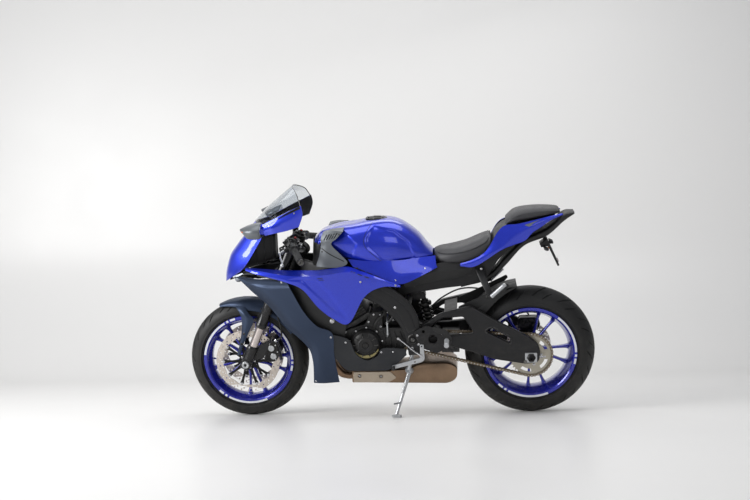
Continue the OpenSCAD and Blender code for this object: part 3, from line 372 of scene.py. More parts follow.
wear, begin, end = group("rubbed_edges", [("Amount", FLOAT, 0.5), ("Scale", FLOAT, 60.0)],
    [("Mask", FLOAT)])
where = node(wear, "ShaderNodeTexCoord")
shape = node(wear, "ShaderNodeNewGeometry")
ridge = node(wear, "ShaderNodeMapRange", [("Value", shape.outputs["Pointiness"]), ("From Min", 0.53),
    ("From Max", 0.62)])
chips = node(wear, "ShaderNodeTexNoise", [("Vector", where.outputs["Object"]),
    ("Scale", begin.outputs["Scale"]), ("Detail", 6.0)])
patchy = node(wear, "ShaderNodeMapRange", [("Value", chips.outputs["Fac"]), ("From Min", 0.42),
    ("From Max", 0.6)])
rubbed = node(wear, "ShaderNodeMath", [(0, ridge.outputs["Result"]), (1, patchy.outputs["Result"])],
    operation="MULTIPLY")
scaled = node(wear, "ShaderNodeMath", [(0, rubbed.outputs[0]), (1, begin.outputs["Amount"])],
    operation="MULTIPLY")
wear.links.new(scaled.outputs[0], end.inputs["Mask"])

dust, begin, end = group("road_dust", [("Amount", FLOAT, 0.3), ("Top", FLOAT, 0.55)], [("Mask", FLOAT)])
where = node(dust, "ShaderNodeTexCoord")
split = node(dust, "ShaderNodeSeparateXYZ", [(0, where.outputs["Object"])])
low = node(dust, "ShaderNodeMapRange", [("Value", split.outputs["Z"]), ("From Min", begin.outputs["Top"]),
    ("From Max", 0.0)])
specks = node(dust, "ShaderNodeTexNoise", [("Vector", where.outputs["Object"]), ("Scale", 25.0),
    ("Detail", 8.0), ("Roughness", 0.7)])
patchy = node(dust, "ShaderNodeMapRange", [("Value", specks.outputs["Fac"]), ("From Min", 0.4),
    ("From Max", 0.75)])
lying = node(dust, "ShaderNodeMath", [(0, low.outputs["Result"]), (1, patchy.outputs["Result"])],
    operation="MULTIPLY")
scaled = node(dust, "ShaderNodeMath", [(0, lying.outputs[0]), (1, begin.outputs["Amount"])],
    operation="MULTIPLY")
dust.links.new(scaled.outputs[0], end.inputs["Mask"])

flake, begin, end = group("metal_flake", [("Paint", COLOUR, (0, 0, 1, 1)), ("Flake", COLOUR, (1, 1, 1, 1)),
    ("Scale", FLOAT, 900.0), ("Share", FLOAT, 0.3)], [("Colour", COLOUR)])
where = node(flake, "ShaderNodeTexCoord")
cells = node(flake, "ShaderNodeTexVoronoi", [("Vector", where.outputs["Object"]),
    ("Scale", begin.outputs["Scale"])])
bright = node(flake, "ShaderNodeMath", [(0, cells.outputs["Color"]), (1, begin.outputs["Share"])],
    operation="MULTIPLY")
flake.links.new(mixed(flake, bright.outputs[0], begin.outputs["Paint"], begin.outputs["Flake"]),
    end.inputs["Colour"])
print("shader groups", [g.name for g in (mottle, grain, wear, dust, flake)])

# %% [markdown]
# One maker builds most finishes from those groups: a colour that drifts a little, a roughness that varies,
# dust towards the ground, rubbed edges that show the bare metal, and a grain for moulded parts. Clear
# lacquer over paint is the shader's own coat.

# %% The finish maker
def linear(*rgb):
    """A colour as it is seen, 0 to 255, as the shader's linear values."""
    return (*[((c / 255 + 0.055) / 1.055) ** 2.4 if c > 10 else c / 255 / 12.92 for c in rgb], 1.0)


DUST = linear(128, 120, 108)
BARE = linear(176, 174, 170)


def finish(name, colour, rough=(0.3, 0.45), metal=0.0, coat=0.0, coat_rough=0.04, drift=0.82, scale=30.0,
    dusty=0.08, rub=0.0, bare=BARE, bump=0.0, bump_scale=700.0, softness=0.4, flakes=None, specular=0.5):
    m = bpy.data.materials.new(name)
    m.use_nodes = True
    tree = m.node_tree
    shader = tree.nodes["Principled BSDF"]
    shader.inputs["Metallic"].default_value = metal
    shader.inputs["Coat Weight"].default_value = coat
    shader.inputs["Coat Roughness"].default_value = coat_rough
    shader.inputs["Specular IOR Level"].default_value = specular
    m.diffuse_color = colour
    cloudy = node(tree, "ShaderNodeGroup", [], node_tree=mottle)
    for label, value in (("Scale", scale), ("Low", rough[0]), ("High", rough[1])):
        cloudy.inputs[label].default_value = value
    tree.links.new(cloudy.outputs["Value"], shader.inputs["Roughness"])
    darker = (*[c * drift for c in colour[:3]], 1)
    now = mixed(tree, cloudy.outputs["Mask"], darker, colour)
    if flakes:
        sparkle = node(tree, "ShaderNodeGroup", [], node_tree=flake)
        tree.links.new(now, sparkle.inputs["Paint"])
        sparkle.inputs["Flake"].default_value = flakes
        now = sparkle.outputs["Colour"]
    if rub:
        edges = node(tree, "ShaderNodeGroup", [], node_tree=wear)
        edges.inputs["Amount"].default_value = rub
        now = mixed(tree, edges.outputs["Mask"], now, bare)
    if dusty:
        lying = node(tree, "ShaderNodeGroup", [], node_tree=dust)
        lying.inputs["Amount"].default_value = dusty
        now = mixed(tree, lying.outputs["Mask"], now, DUST)
    tree.links.new(now, shader.inputs["Base Color"])
    if bump:
        cells = node(tree, "ShaderNodeGroup", [], node_tree=grain)
        cells.inputs["Scale"].default_value = bump_scale
        cells.inputs["Softness"].default_value = softness
        raised = node(tree, "ShaderNodeBump", [("Strength", bump), ("Distance", 0.0004),
            ("Height", cells.outputs["Height"])])
        tree.links.new(raised.outputs["Normal"], shader.inputs["Normal"])
    return m


# %% [markdown]
# The colours come from looking at the machine: a deep metallic blue under gloss lacquer, a slate blue matt
# on the lower cowl and mudguard, gunmetal at the air intakes, and many different blacks. Keeping the blacks
# apart, from satin castings to grained plastic and rubber, is what makes a dark machine readable.

# %% Paints, plastics, rubber and metals
BLUE = finish("blue_metallic_paint", linear(10, 28, 178), (0.3, 0.38), 0.6, 1.0, 0.03, 0.92, 18, 0.02,
    flakes=linear(44, 92, 250))
SLATE = finish("matt_slate_paint", linear(47, 58, 78), (0.34, 0.44), 0.7, 0.0, drift=0.92, dusty=0.03,
    bump=0.05, bump_scale=2500)
# Painted shade: the belly panel under the engine takes a darker copy of the slate, which stands in for the
# shade that falls there.
SHADED_SLATE = finish("slate_with_painted_shade", linear(26, 29, 34), (0.4, 0.5), 0.2, 0.0, drift=0.9, bump=0.05,
    bump_scale=2500)
GUNMETAL = finish("gunmetal_paint", linear(108, 112, 116), (0.36, 0.46), 0.6, 0.0, drift=0.9, dusty=0.03,
    bump=0.06, bump_scale=2200)
CASTING = finish("satin_black_casting", linear(20, 20, 22), (0.36, 0.5), 0.3, 0.0, rub=0.2, bump=0.12,
    bump_scale=1600)
CRANKCASE = finish("engine_black", linear(24, 24, 25), (0.34, 0.5), 0.35, rub=0.2, bump=0.15,
    bump_scale=1300, dusty=0.14)
PLASTIC = finish("grained_black_plastic", linear(15, 15, 16), (0.42, 0.56), bump=0.25, bump_scale=900,
    dusty=0.05)
GLOSS_BLACK = finish("gloss_black_plastic", linear(10, 10, 11), (0.08, 0.16), coat=0.6, dusty=0.03)
VINYL = finish("seat_vinyl", linear(46, 46, 49), (0.42, 0.56), bump=0.35, bump_scale=420, softness=0.25,
    dusty=0.0)
RUBBER = finish("tyre_rubber", linear(19, 19, 19), (0.5, 0.6), drift=0.9, bump=0.15, bump_scale=1200,
    dusty=0.12, specular=0.4)
GRIP = finish("grip_rubber", linear(30, 30, 31), (0.6, 0.75), bump=0.3, bump_scale=500, dusty=0.0)
WHEEL_BLUE = finish("wheel_blue_paint", linear(14, 22, 150), (0.2, 0.3), 0.5, 0.8, 0.05, dusty=0.25,
    flakes=linear(60, 70, 200))
RIM_TAPE = finish("white_rim_tape", linear(222, 224, 228), (0.25, 0.4), dusty=0.15)
DISC = finish("brake_disc_steel", linear(212, 202, 192), (0.26, 0.38), 0.8, drift=0.8, scale=90, dusty=0.1)
CARRIER = finish("black_anodised", linear(18, 18, 19), (0.3, 0.42), 0.6, rub=0.4)
CHAIN = finish("chain_steel", linear(134, 120, 100), (0.3, 0.5), 0.85, drift=0.6, scale=120, dusty=0.2)
SPROCKET = finish("sprocket_steel", linear(178, 172, 158), (0.3, 0.45), 0.8, drift=0.8, dusty=0.1)
STEEL = finish("bright_steel", linear(190, 190, 192), (0.16, 0.3), 1.0, drift=0.85, scale=120, dusty=0.05)
ALLOY = finish("silver_alloy", linear(186, 188, 190), (0.28, 0.42), 0.85, drift=0.85, dusty=0.1, bump=0.08,
    bump_scale=1500)
STANCHION = finish("fork_stanchion", linear(196, 186, 182), (0.12, 0.2), 0.9, drift=0.92, dusty=0.0)
FORK_BLACK = finish("fork_black_anodised", linear(22, 22, 24), (0.24, 0.34), 0.5, 0.3)
HEADER = finish("header_bronze", linear(150, 122, 98), (0.28, 0.42), 0.85, drift=0.6, scale=22, dusty=0.12,
    bare=linear(150, 120, 150))
MUFFLER = finish("heat_tinted_steel", linear(158, 132, 108), (0.24, 0.42), 0.9, drift=0.4, scale=11,
    dusty=0.06)
SHIELD = finish("warm_steel_shield", linear(190, 176, 158), (0.26, 0.4), 0.85, drift=0.7, scale=24,
    dusty=0.06)
CORE = finish("radiator_fins", linear(44, 44, 46), (0.45, 0.6), 0.6, bump=0.6, bump_scale=700, dusty=0.3)
HOSE = finish("hose_rubber", linear(18, 18, 18), (0.4, 0.55), bump=0.1, bump_scale=900, dusty=0.1)
RED = finish("red_anodised", linear(150, 20, 24), (0.25, 0.35), 0.7, dusty=0.0)
GUARD = finish("olive_gold_guard", linear(150, 140, 96), (0.35, 0.5), 0.6, drift=0.75, dusty=0.2)
MIRROR_GLASS = finish("mirror_glass", linear(150, 156, 164), (0.02, 0.05), 1.0, drift=0.97, dusty=0.0)
AMBER = finish("amber_lens", linear(190, 96, 20), (0.12, 0.2), coat=0.5, dusty=0.0)
TAIL_RED = finish("red_lens", linear(120, 10, 12), (0.1, 0.18), coat=0.6, dusty=0.0)
print("finishes", len(bpy.data.materials))

# %% [markdown]
# The screen is thin smoked acrylic. Real refraction through a curved sheet looks best with the shader's own
# transmission; a touch of grey in the colour is the smoke. The lamp lens is the same with clear plastic,
# and the small position lamp behind it glows faintly.

# %% Screen, lens and lamp
def clear(name, colour, rough):
    m = bpy.data.materials.new(name)
    m.use_nodes = True
    tree = m.node_tree
    shader = tree.nodes["Principled BSDF"]
    shader.inputs["Transmission Weight"].default_value = 1.0
    shader.inputs["IOR"].default_value = 1.2
    cloudy = node(tree, "ShaderNodeGroup", [], node_tree=mottle)
    for label, value in (("Scale", 14.0), ("Low", rough), ("High", rough + 0.03)):
        cloudy.inputs[label].default_value = value
    tree.links.new(cloudy.outputs["Value"], shader.inputs["Roughness"])
    darker = (*[c * 0.93 for c in colour[:3]], 1)
    tree.links.new(mixed(tree, cloudy.outputs["Mask"], darker, colour), shader.inputs["Base Color"])
    return m


SCREEN = clear("smoked_screen", linear(228, 232, 236), 0.0)
LENS = clear("clear_lens", linear(235, 238, 240), 0.0)
LED = finish("position_lamp", linear(230, 234, 240), (0.2, 0.3), dusty=0.0)
LED.node_tree.nodes["Principled BSDF"].inputs["Emission Color"].default_value = (0.85, 0.9, 1, 1)
LED.node_tree.nodes["Principled BSDF"].inputs["Emission Strength"].default_value = 0.6
print("clear finishes ready")

# %% [markdown]
# The machine stands in a bright plain room. A floor that sweeps up into a wall without a corner gives an
# even pale ground; seen from behind it vanishes, so the machine can be looked at from all round. Broad soft
# lamps from the front, from above and from beside the camera draw long highlights along the panels, and the
# weak room light keeps the black parts readable.

# %% Floor, wall and light
floor_line = [(9.0, 0.0), (0.0, 0.0), (-2.4, 0.0)]
floor_line += [(-2.4 - 1.2 * math.sin(a), 1.2 - 1.2 * math.cos(a))
    for a in (math.radians(9 * k) for k in range(1, 11))]
floor_line += [(-3.6, 6.0)]
ground = bpy.data.meshes.new("studio_floor")
ground.from_pydata([(x, y, z) for x in (-9, 9) for y, z in floor_line], [],
    [(i, i + 1, len(floor_line) + i + 1, len(floor_line) + i) for i in range(len(floor_line) - 1)])
ground.shade_smooth()
pale = finish("pale_floor", linear(226, 225, 223), (0.34, 0.4), drift=0.995, scale=3.0, dusty=0.0)
floor_links, floor_shader = pale.node_tree.links, pale.node_tree.nodes["Principled BSDF"]
facing_side, see_through, choice = [pale.node_tree.nodes.new("ShaderNode" + kind)
    for kind in ("NewGeometry", "BsdfTransparent", "MixShader")]
for out, into in ((facing_side.outputs["Backfacing"], choice.inputs[0]),
    (floor_shader.outputs[0], choice.inputs[1]), (see_through.outputs[0], choice.inputs[2]),
    (choice.outputs[0], pale.node_tree.nodes["Material Output"].inputs["Surface"])):
    floor_links.new(out, into)
ground.materials.append(pale)
studio = bpy.data.objects.new("studio_floor", ground)
scene_root.objects.link(studio)


def lamp(name, at, to, size, power):
    light = bpy.data.lights.new(name, "AREA")
    light.shape, light.size, light.size_y, light.energy = "RECTANGLE", size[0], size[1], power
    thing = bpy.data.objects.new(name, light)
    thing.location = at
    thing.rotation_euler = (Vector(to) - Vector(at)).to_track_quat("-Z", "Y").to_euler()
    scene_root.objects.link(thing)
    return thing


lamp("front_window", (4.6, 2.6, 2.3), (0.3, 0, 0.6), (3.0, 2.6), 290)
lamp("ceiling", (-0.2, 0.6, 4.2), (0, 0, 0.4), (5.0, 2.4), 100)
lamp("camera_side", (-2.6, 5.2, 2.6), (-0.2, 0, 0.5), (3.0, 2.0), 40)
lamp("far_side", (0.6, -2.2, 3.6), (0, 0, 0.6), (4.0, 1.0), 26)
world = bpy.context.scene.world or bpy.data.worlds.new("room")
bpy.context.scene.world = world
world.use_nodes = True
world.node_tree.nodes["Background"].inputs["Color"].default_value = (0.90, 0.93, 1.0, 1)
world.node_tree.nodes["Background"].inputs["Strength"].default_value = 0.3
print("studio set")

# %% [markdown]
# ## Wheels
# A sport tyre has slanted grooves that sweep back from the crown. Cutting them with booleans tears a round
# mesh. We shear the grid instead: its columns already run along the grooves, so pressing a few columns
# inward gives grooves with clean walls, and the rest of the tyre stays smooth.

# %% Tyres
GROOVE_DEEP = 4.0
# share of one repeat, and which groove the column belongs to
COLUMNS = [(0.0, ""), (0.07, ""), (0.09, "a"), (0.135, "a"), (0.155, ""), (0.26, ""), (0.36, ""),
    (0.46, ""), (0.56, ""), (0.58, "b"), (0.625, "b"), (0.645, ""), (0.75, ""), (0.88, "")]


def ramp(v, low, high):
    t = max(0.0, min(1.0, (v - low) / (high - low)))
    return t * t * (3 - 2 * t)


def tyre(radius, width, seat, repeats):
    """A tyre on the Y axis; seat is half the rim's width."""
    c = width / 2
    limit = math.acos((252 - radius + c) / c)
    arc = [math.degrees(limit) * k / 26 for k in range(-26, 27)]
    rings = []
    for n in range(repeats):
        for share, mark in COLUMNS:
            ring = []
            for f in arc:
                along = abs(f) / 60
                turn = math.radians((n + share) * 360 / repeats - 16 * along ** 1.3)
                long = ramp(abs(f), 5, 10) * (1 - ramp(abs(f), 44, 52))
                short = ramp(abs(f), 30, 36) * (1 - ramp(abs(f), 54, 60))
                press = {"": 0, "a": long if f > 0 else short, "b": short if f > 0 else long}[mark]
                r = radius - c + (c - GROOVE_DEEP * press) * math.cos(math.radians(f))
                y = (c - GROOVE_DEEP * press) * math.sin(math.radians(f))
                ring.append((r * math.cos(turn), y, r * math.sin(turn)))
            turn = math.radians((n + share) * 360 / repeats - 16 * (math.degrees(limit) / 60) ** 1.3)
            top = c * math.sin(limit)
            side = [(246, top - 0.5), (243, top + 0.6), (240, top), (236, seat + 5), (232, seat + 5.5),
                (229, seat + 0.4), (217, seat - 0.5), (217, seat - 12)]
            low = [(r * math.cos(turn), y, r * math.sin(turn)) for r, y in side]
            far = [(x, -y, z) for x, y, z in reversed(low)]
            rings.append(far + ring + low)
    return loft(rings, closed=True)


front_tyre = piece("front_tyre_dressed", *tyre(FRONT_R, FRONT_W, 45, 15), "front_wheel", RUBBER, FRONT,
    sharp=28, stands_for=["front_tyre"])
rear_tyre = piece("rear_tyre_dressed", *tyre(REAR_R, REAR_W, 77, 14), "rear_wheel", RUBBER, REAR, sharp=28,
    stands_for=["rear_tyre"])
print("tyre faces", len(front_tyre.data.polygons), len(rear_tyre.data.polygons))

# %% [markdown]
# The cast wheels have five pairs of slim spokes that part from the hub and flare where they meet the rim.
# Each spoke is a loft: one rounded section, narrowed at mid-length and widened at both ends.

# %% Rims and spokes
def rim_barrel(h):
    inner = [(216, -h), (228, -h - 1), (229, -h - 4), (227, -h - 6.5), (214, -h - 7), (208, -h - 2),
        (205, 8 - h), (191, -h * 0.45), (189, 0)]
    outer = [(216, 12 - h), (199, 6 - h / 2), (198, 0)]
    ring = inner + [(r, -y) for r, y in reversed(inner[:-1])]
    back = [(r, -y) for r, y in outer[:-1]] + [(198, 0)] + [(r, y) for r, y in reversed(outer[:-1])]
    return lathe(ring + back, 120)


def spoke(s, hub_r, thick):
    """One spoke along +X: columns radius, sideways, width and thickness."""
    stations = [(hub_r - 10, 9, 20, thick + 22), (hub_r + 12, 12.5, 17, thick + 10), (95, 19, 14, thick),
        (130, 26.5, 13, thick), (160, 34, 15, thick + 1), (178, 38.5, 21, thick + 5),
        (188, 41, 34, thick + 12), (195, 42.5, 44, thick + 16)]
    rings = []
    for r, off, wide, deep in line(stations, 3):
        ring = []
        for k in range(14):
            a = 2 * math.pi * k / 14
            cu, cv = math.cos(a), math.sin(a)
            ring.append((r, deep / 2 * math.copysign(abs(cv) ** 0.6, cv),
                s * off + wide / 2 * math.copysign(abs(cu) ** 0.6, cu)))
        rings.append(ring)
    return loft(rings)


def wheel(h, hub_r, y0, y1, thick):
    hub = lathe([(13, y0), (hub_r - 8, y0), (hub_r - 4, y0 + 4), (hub_r - 4, y0 + 12),
        (hub_r - 11, y0 + 20), (hub_r - 13, 0), (hub_r - 11, y1 - 20), (hub_r - 4, y1 - 12),
        (hub_r - 4, y1 - 4), (hub_r - 8, y1), (13, y1)], 64)
    spokes = [moved(spoke(s, hub_r, thick), Matrix.Rotation(math.radians(-45 - 72 * k), 4, "Y"))
        for k in range(5) for s in (-1, 1)]
    valve = turned([(0.01, 24), (2.4, 24), (3.2, 22), (3.2, 12), (4.5, 10), (4.5, 0), (0.01, 0)],
        (188, 6, 0), (-0.9, 0.4, 0), 12)
    return merged(rim_barrel(h), hub, valve, *spokes)


piece("front_rim_dressed", *wheel(45, 40, -60, 60, 24), "front_wheel", WHEEL_BLUE, FRONT, edge=0.8,
    stands_for=["front_rim"])
piece("rear_rim_dressed", *wheel(77, 52, -74, 64, 28), "rear_wheel", WHEEL_BLUE, REAR, edge=0.8,
    stands_for=["rear_rim"])
print("rims made")

# %% [markdown]
# Reflective tape follows both lips of each rim in long strokes with short dashes between them. It is a thin
# ring cut into arcs, laid a fraction of a millimetre over the paint.

# %% Rim tape
def tape(h, strokes):
    parts = []
    for first, length in strokes:
        arcs = [math.radians(first + length * k / 24) for k in range(25)]
        for s in (-1, 1):
            profile = [(226.6, h + 7.2), (216.5, h + 7.5), (216.5, h + 6.4), (226.6, h + 6.2)]
            parts.append(loft([[(r * math.cos(a), s * y, r * math.sin(a)) for r, y in profile]
                for a in arcs]))
    return merged(*parts)


STROKES = [(120 * k + d, w) for k in range(3) for d, w in ((8, 52), (63, 3), (68.5, 7))]
piece("front_rim_tape", *tape(45, STROKES), "front_wheel", RIM_TAPE, FRONT)
piece("rear_rim_tape", *tape(77, STROKES), "rear_wheel", RIM_TAPE, REAR)
print("tape strokes", len(STROKES))

# %% [markdown]
# ## Brakes
# The front discs float: a drilled steel ring hangs on ten bobbins round a black carrier. The ring is a
# plate with its holes as extra outlines. Bobbins are small turned parts set in a circle.

# %% Brake discs
def disc_ring(r_out, r_in, rows, holes, y0, y1, lobes):
    rim = [(r * math.cos(a), r * math.sin(a)) for a,
        r in ((2 * math.pi * k / 180, r_in + 3 * math.cos(2 * math.pi * k / 180 * lobes))
        for k in range(180))]
    cuts = [circle(r * math.cos(a), r * math.sin(a), 3.4, 12) for k in range(holes) for q,
        r in enumerate(rows) for a in [2 * math.pi * (k + q / len(rows)) / holes]]
    return plate([circle(0, 0, r_out, 120), rim, *cuts], y0, y1, 0.5)


def carrier(r_in, r_out, arms, y0, y1):
    star = []
    for k in range(arms):
        for share, r in ((-0.3, r_in + 18), (-0.1, r_out - 40), (-0.1, r_out - 12), (-0.14, r_out),
            (0.14, r_out), (0.1, r_out - 12), (0.1, r_out - 40), (0.3, r_in + 18)):
            a = 2 * math.pi * (k + share) / arms
            star.append((r * math.cos(a), r * math.sin(a)))
    bolts = [circle((r_in + 8) * math.cos(a), (r_in + 8) * math.sin(a), 3, 10)
        for a in (2 * math.pi * (k + 0.5) / 5 for k in range(5))]
    return plate([star, circle(0, 0, r_in, 48), *bolts], y0, y1, 0.8)


def round_bolts(count, r, y, side, size, shift=0.0):
    spots = [2 * math.pi * (k + shift) / count for k in range(count)]
    return [cap_bolt((r * math.cos(a), y, r * math.sin(a)), (0, side, 0), size, size * 0.7) for a in spots]


def bobbins(count, r, y0, y1):
    spots = [2 * math.pi * k / count for k in range(count)]
    return [turned([(0.01, y1 - y0), (4.5, y1 - y0), (7.2, y1 - y0 - 1.2), (7.2, 1.2), (4.5, 0), (0.01, 0)],
        (r * math.cos(a), y0, r * math.sin(a)), turns=16) for a in spots]


front_ring = disc_ring(160, 126, (133, 143, 153), 26, 65.7, 70.3, 10)
front_star = merged(carrier(27, 121, 10, 64.5, 70), lathe([(28, 60.4), (42, 60.4), (44, 66), (28, 66)], 48))
front_fit = merged(*bobbins(10, 123.5, 63.6, 72), *round_bolts(5, 35, 69.8, 1, 5.5, 0.5))
piece("front_disc_rings", *front_ring, "front_wheel", DISC, FRONT, both=True, stands_for=["front_discs"])
piece("front_disc_carriers", *front_star, "front_wheel", CARRIER, FRONT, both=True)
piece("front_disc_bobbins", *front_fit, "front_wheel", STEEL, FRONT, both=True)
rear_ring = flipped(disc_ring(110, 82, (89, 96, 103), 20, 88, 93, 5))
rear_star = flipped(merged(carrier(27, 84, 5, 86.5, 92),
    lathe([(28, 74.4), (44, 74.4), (46, 88), (28, 88)], 48)))
piece("rear_disc_ring", *rear_ring, "rear_wheel", DISC, REAR, stands_for=["rear_disc"])
piece("rear_disc_carrier", *rear_star, "rear_wheel", CARRIER, REAR)
piece("rear_disc_bolts", *merged(*round_bolts(5, 36, -92, -1, 5.5)), "rear_wheel", STEEL, REAR)
print("discs drilled with", 26 * 3, "holes each side")

# %% [markdown]
# The sprocket is a plate too: forty-one teeth from a repeating outline, big lightening holes, and five nuts
# that hold it to the damper hub.

# %% Rear sprocket
TEETH, PITCH_MM = 41, 15.875
PITCH_R = PITCH_MM / (2 * math.sin(math.pi / TEETH))
CHAIN_Y = 112
teeth = []
for k in range(TEETH):
    for share, lift in ((-0.5, -4.6), (-0.36, -4.3), (-0.22, -2.4), (-0.14, 1.5), (-0.08, 4.6), (0.08, 4.6),
        (0.14, 1.5), (0.22, -2.4), (0.36, -4.3)):
        a = 2 * math.pi * (k + share) / TEETH
        teeth.append(((PITCH_R + lift) * math.cos(a), (PITCH_R + lift) * math.sin(a)))
windows = []
for k in range(5):
    a = 2 * math.pi * k / 5
    sector = [(r * math.cos(a + t), r * math.sin(a + t)) for r,
        t in [(86, -0.34 + 0.068 * q) for q in range(11)] + [(70, 0.3 - 0.06 * q) for q in range(11)]]
    windows.append(sector)
sprocket = plate([teeth, circle(0, 0, 40, 48), *windows], CHAIN_Y - 3.2, CHAIN_Y + 3.2, 0.8)
damper = lathe([(13, 64.4), (58, 64.4), (62, 70), (62, 92), (56, CHAIN_Y - 3.4), (34, CHAIN_Y - 3.4),
    (34, CHAIN_Y + 2), (26, CHAIN_Y + 6), (13, CHAIN_Y + 6)], 64)
nuts = [hex_bolt((50 * math.cos(a), CHAIN_Y + 3, 50 * math.sin(a)), (0, 1, 0), 6, 6)
    for a in (2 * math.pi * (k + 0.5) / 5 for k in range(5))]
piece("rear_sprocket_plate", *sprocket, "rear_wheel", SPROCKET, REAR, stands_for=["rear_sprocket"])
piece("sprocket_damper_hub", *damper, "rear_wheel", CARRIER, REAR, edge=0.8)
piece("sprocket_nuts", *merged(*nuts), "rear_wheel", STEEL, REAR)
print("sprocket teeth", TEETH, "pitch radius", round(PITCH_R, 1))

# %% [markdown]
# ## Bodywork
# Panels are thin mouldings. Each is a grid through a few drawn lines, given a wall by a modifier whose
# inner side takes black plastic, as painted panels really look from behind. Recesses and raised lips follow
# closed outlines seen from the side: points inside the outline are pressed in or pulled out, with a short
# soft edge.

# %% Pressing recesses and reading a skin
def edge_distance(p, corners):
    """How far a point lies inside a closed outline; negative outside."""
    inside, least = False, 1e9
    for a, b in zip(corners, corners[1:] + corners[:1]):
        d = b - a
        t = max(0.0, min(1.0, (p - a).dot(d) / d.length_squared))
        least = min(least, (a + t * d - p).length)
        if (a.y > p.y) != (b.y > p.y) and p.x < d.x * (p.y - a.y) / d.y + a.x:
            inside = not inside
    return least if inside else -least


def pressed(part, corners, depth, soft=6, least_y=0):
    """Moves the points inside an x, z outline across the bike; positive depth is inward."""
    shape = [Vector(c[:2]) for c in corners]
    low = (min(c.x for c in shape), min(c.y for c in shape))
    high = (max(c.x for c in shape), max(c.y for c in shape))
    points = []
    for p in part[0]:
        p = Vector(p)
        if low[0] < p.x < high[0] and low[1] < p.z < high[1] and abs(p.y) > least_y:
            d = edge_distance(Vector((p.x, p.z)), shape)
            p.y -= math.copysign(depth * ramp(d, 0, soft), p.y)
        points.append(p)
    return points, part[1]


class Skin:
    """Finds the place and the outward direction on a panel under a point seen from the side."""

    def __init__(self, part):
        self.tree = BVHTree.FromPolygons(part[0], part[1])

    def at(self, x, z, side=1):
        place, way, _, _ = self.tree.ray_cast(Vector((x, side * 600, z)), Vector((0, -side, 0)))
        if place is None:
            place, way, _, _ = self.tree.find_nearest(Vector((x, side * 200, z)))
        return place, way * (1 if way.y * side > 0 else -1)

    def strip(self, path, width, lift=0.5, steps=6, side=1):
        """A thin raised or dark line laid along a path of x, z."""
        rings = []
        way = line([(*p, 0) for p in path], steps)
        for i, p in enumerate(way):
            d = way[min(i + 1, len(way) - 1)] - way[max(i - 1, 0)]
            off = Vector((-d.y, d.x)).normalized() * width / 2
            ring = []
            for s, out in ((-1, -1.2), (-1, lift), (1, lift), (1, -1.2)):
                place, out_way = self.at(p.x + s * off.x, p.y + s * off.y, side)
                ring.append(place + out_way * out)
            rings.append(ring)
        return loft(rings)

    def patch(self, corners, lift=0.5, side=1, steps=4):
        """A thin plate with an x, z outline lying on the skin."""
        rim = outline(corners, steps)
        top = [self.at(p.x, p.y, side) for p in rim]
        upper, lower = [q + n * lift for q, n in top], [q - n * 1.2 for q, n in top]
        return loft([lower, upper])

    def screw(self, x, z, r=4.5, side=1, tall=2.4):
        place, way = self.at(x, z, side)
        return cap_bolt(place, way, r, tall)


def panel(name, part, finish, body="chassis", wall=3, core=(700, 0, 650), both=False, stands_for=(),
    edge=0.9, lining=True):
    """A thin moulding whose inner side is black plastic."""
    thing = piece(name, *part, body, finish, wall=wall, edge=edge, both=both, core=core,
        stands_for=stands_for)
    if lining:
        thing.data.materials.append(PLASTIC)
        thing.modifiers["wall"].material_offset = 1
    return thing


print("panel tools ready")

# %% [markdown]
# The nose is one smooth shell from the screen down to the lamps. Half of it is drawn, row by row from the
# screen to the chin, and mirrored. Two winglets run back beside the screen.

# %% Nose and winglets
def whole(rows):
    """Rows drawn from the side edge to the middle, carried on to the other side."""
    return [[*r, *[(x, -y, z) for x, y, z in reversed(r[:-1])]] for r in rows]


NOSE = [[(1289, 128.3, 998.6), (1318.5, 74, 1003.2), (1334.4, 0, 1005.2)],
    [(1284, 140, 944), (1366, 76, 945), (1388, 0, 942)],
    [(1318, 148, 885), (1412, 78, 886), (1436, 0, 884)],
    [(1352, 152, 832), (1446, 78, 838), (1468, 0, 838)],
    [(1380, 154, 796), (1474, 70, 764), (1492, 0, 764)],
    [(1404, 148, 775), (1484, 56, 715), (1500, 0, 704)]]
WING = [[(1284, 150, 1002), (1215, 172, 1034), (1150, 182, 1066), (1078, 188, 1097)],
    [(1276, 158, 975), (1222, 180, 1000), (1150, 190, 1022), (1072, 192, 1052)],
    [(1266, 152, 950), (1225, 176, 962), (1150, 188, 978), (1092, 190, 996)]]
nose_part = grid(whole(NOSE), 10, across=8)
panel("nose_cowl_shell", nose_part, BLUE, core=(1200, 0, 850), stands_for=["nose_cowl"])
wing_part = grid(WING, 10, across=8)
panel("upper_winglets", wing_part, BLUE, core=(1150, 0, 1000), both=True)
print("nose points", len(nose_part[0]))

# %% [markdown]
# The screen bows out twice, towards the rider's line of sight and across. Its edge is polished, so it shows
# as a bright line, and a black band along its foot hides the screws.

# %% Screen
SCREEN_ROWS = [[(1288, 128, 1000), (1318, 74, 1004), (1334, 0, 1006)],
    [(1228, 167, 1030), (1250, 108, 1066), (1268, 0, 1072)],
    [(1155, 178, 1064), (1178, 124, 1112), (1204, 0, 1124)],
    [(1082, 184, 1094), (1104, 130, 1142), (1141, 0, 1172)]]
screen_part = grid(whole(SCREEN_ROWS), 10, across=10)
panel("windscreen_bubble", screen_part, SCREEN, core=(1150, 0, 950), stands_for=["windscreen"],
    lining=False, edge=1.2)
trim = tube(line(whole(SCREEN_ROWS)[-1], 10), 2.2, 8, 1)
piece("screen_edge_trim", *trim, "chassis", GLOSS_BLACK)
wing_skin = Skin(wing_part)
band = wing_skin.strip([(1280, 1000), (1215, 1029), (1150, 1060), (1084, 1089)], 13, 1.4, 10)
piece("screen_foot_band", *band, "chassis", GLOSS_BLACK, both=True, edge=0.5)
screws = [wing_skin.screw(x, z, 4) for x, z in ((1240, 1002), (1112, 1062))]
piece("screen_screws", *merged(*screws), "chassis", STEEL, both=True)
print("screen points", len(screen_part[0]))

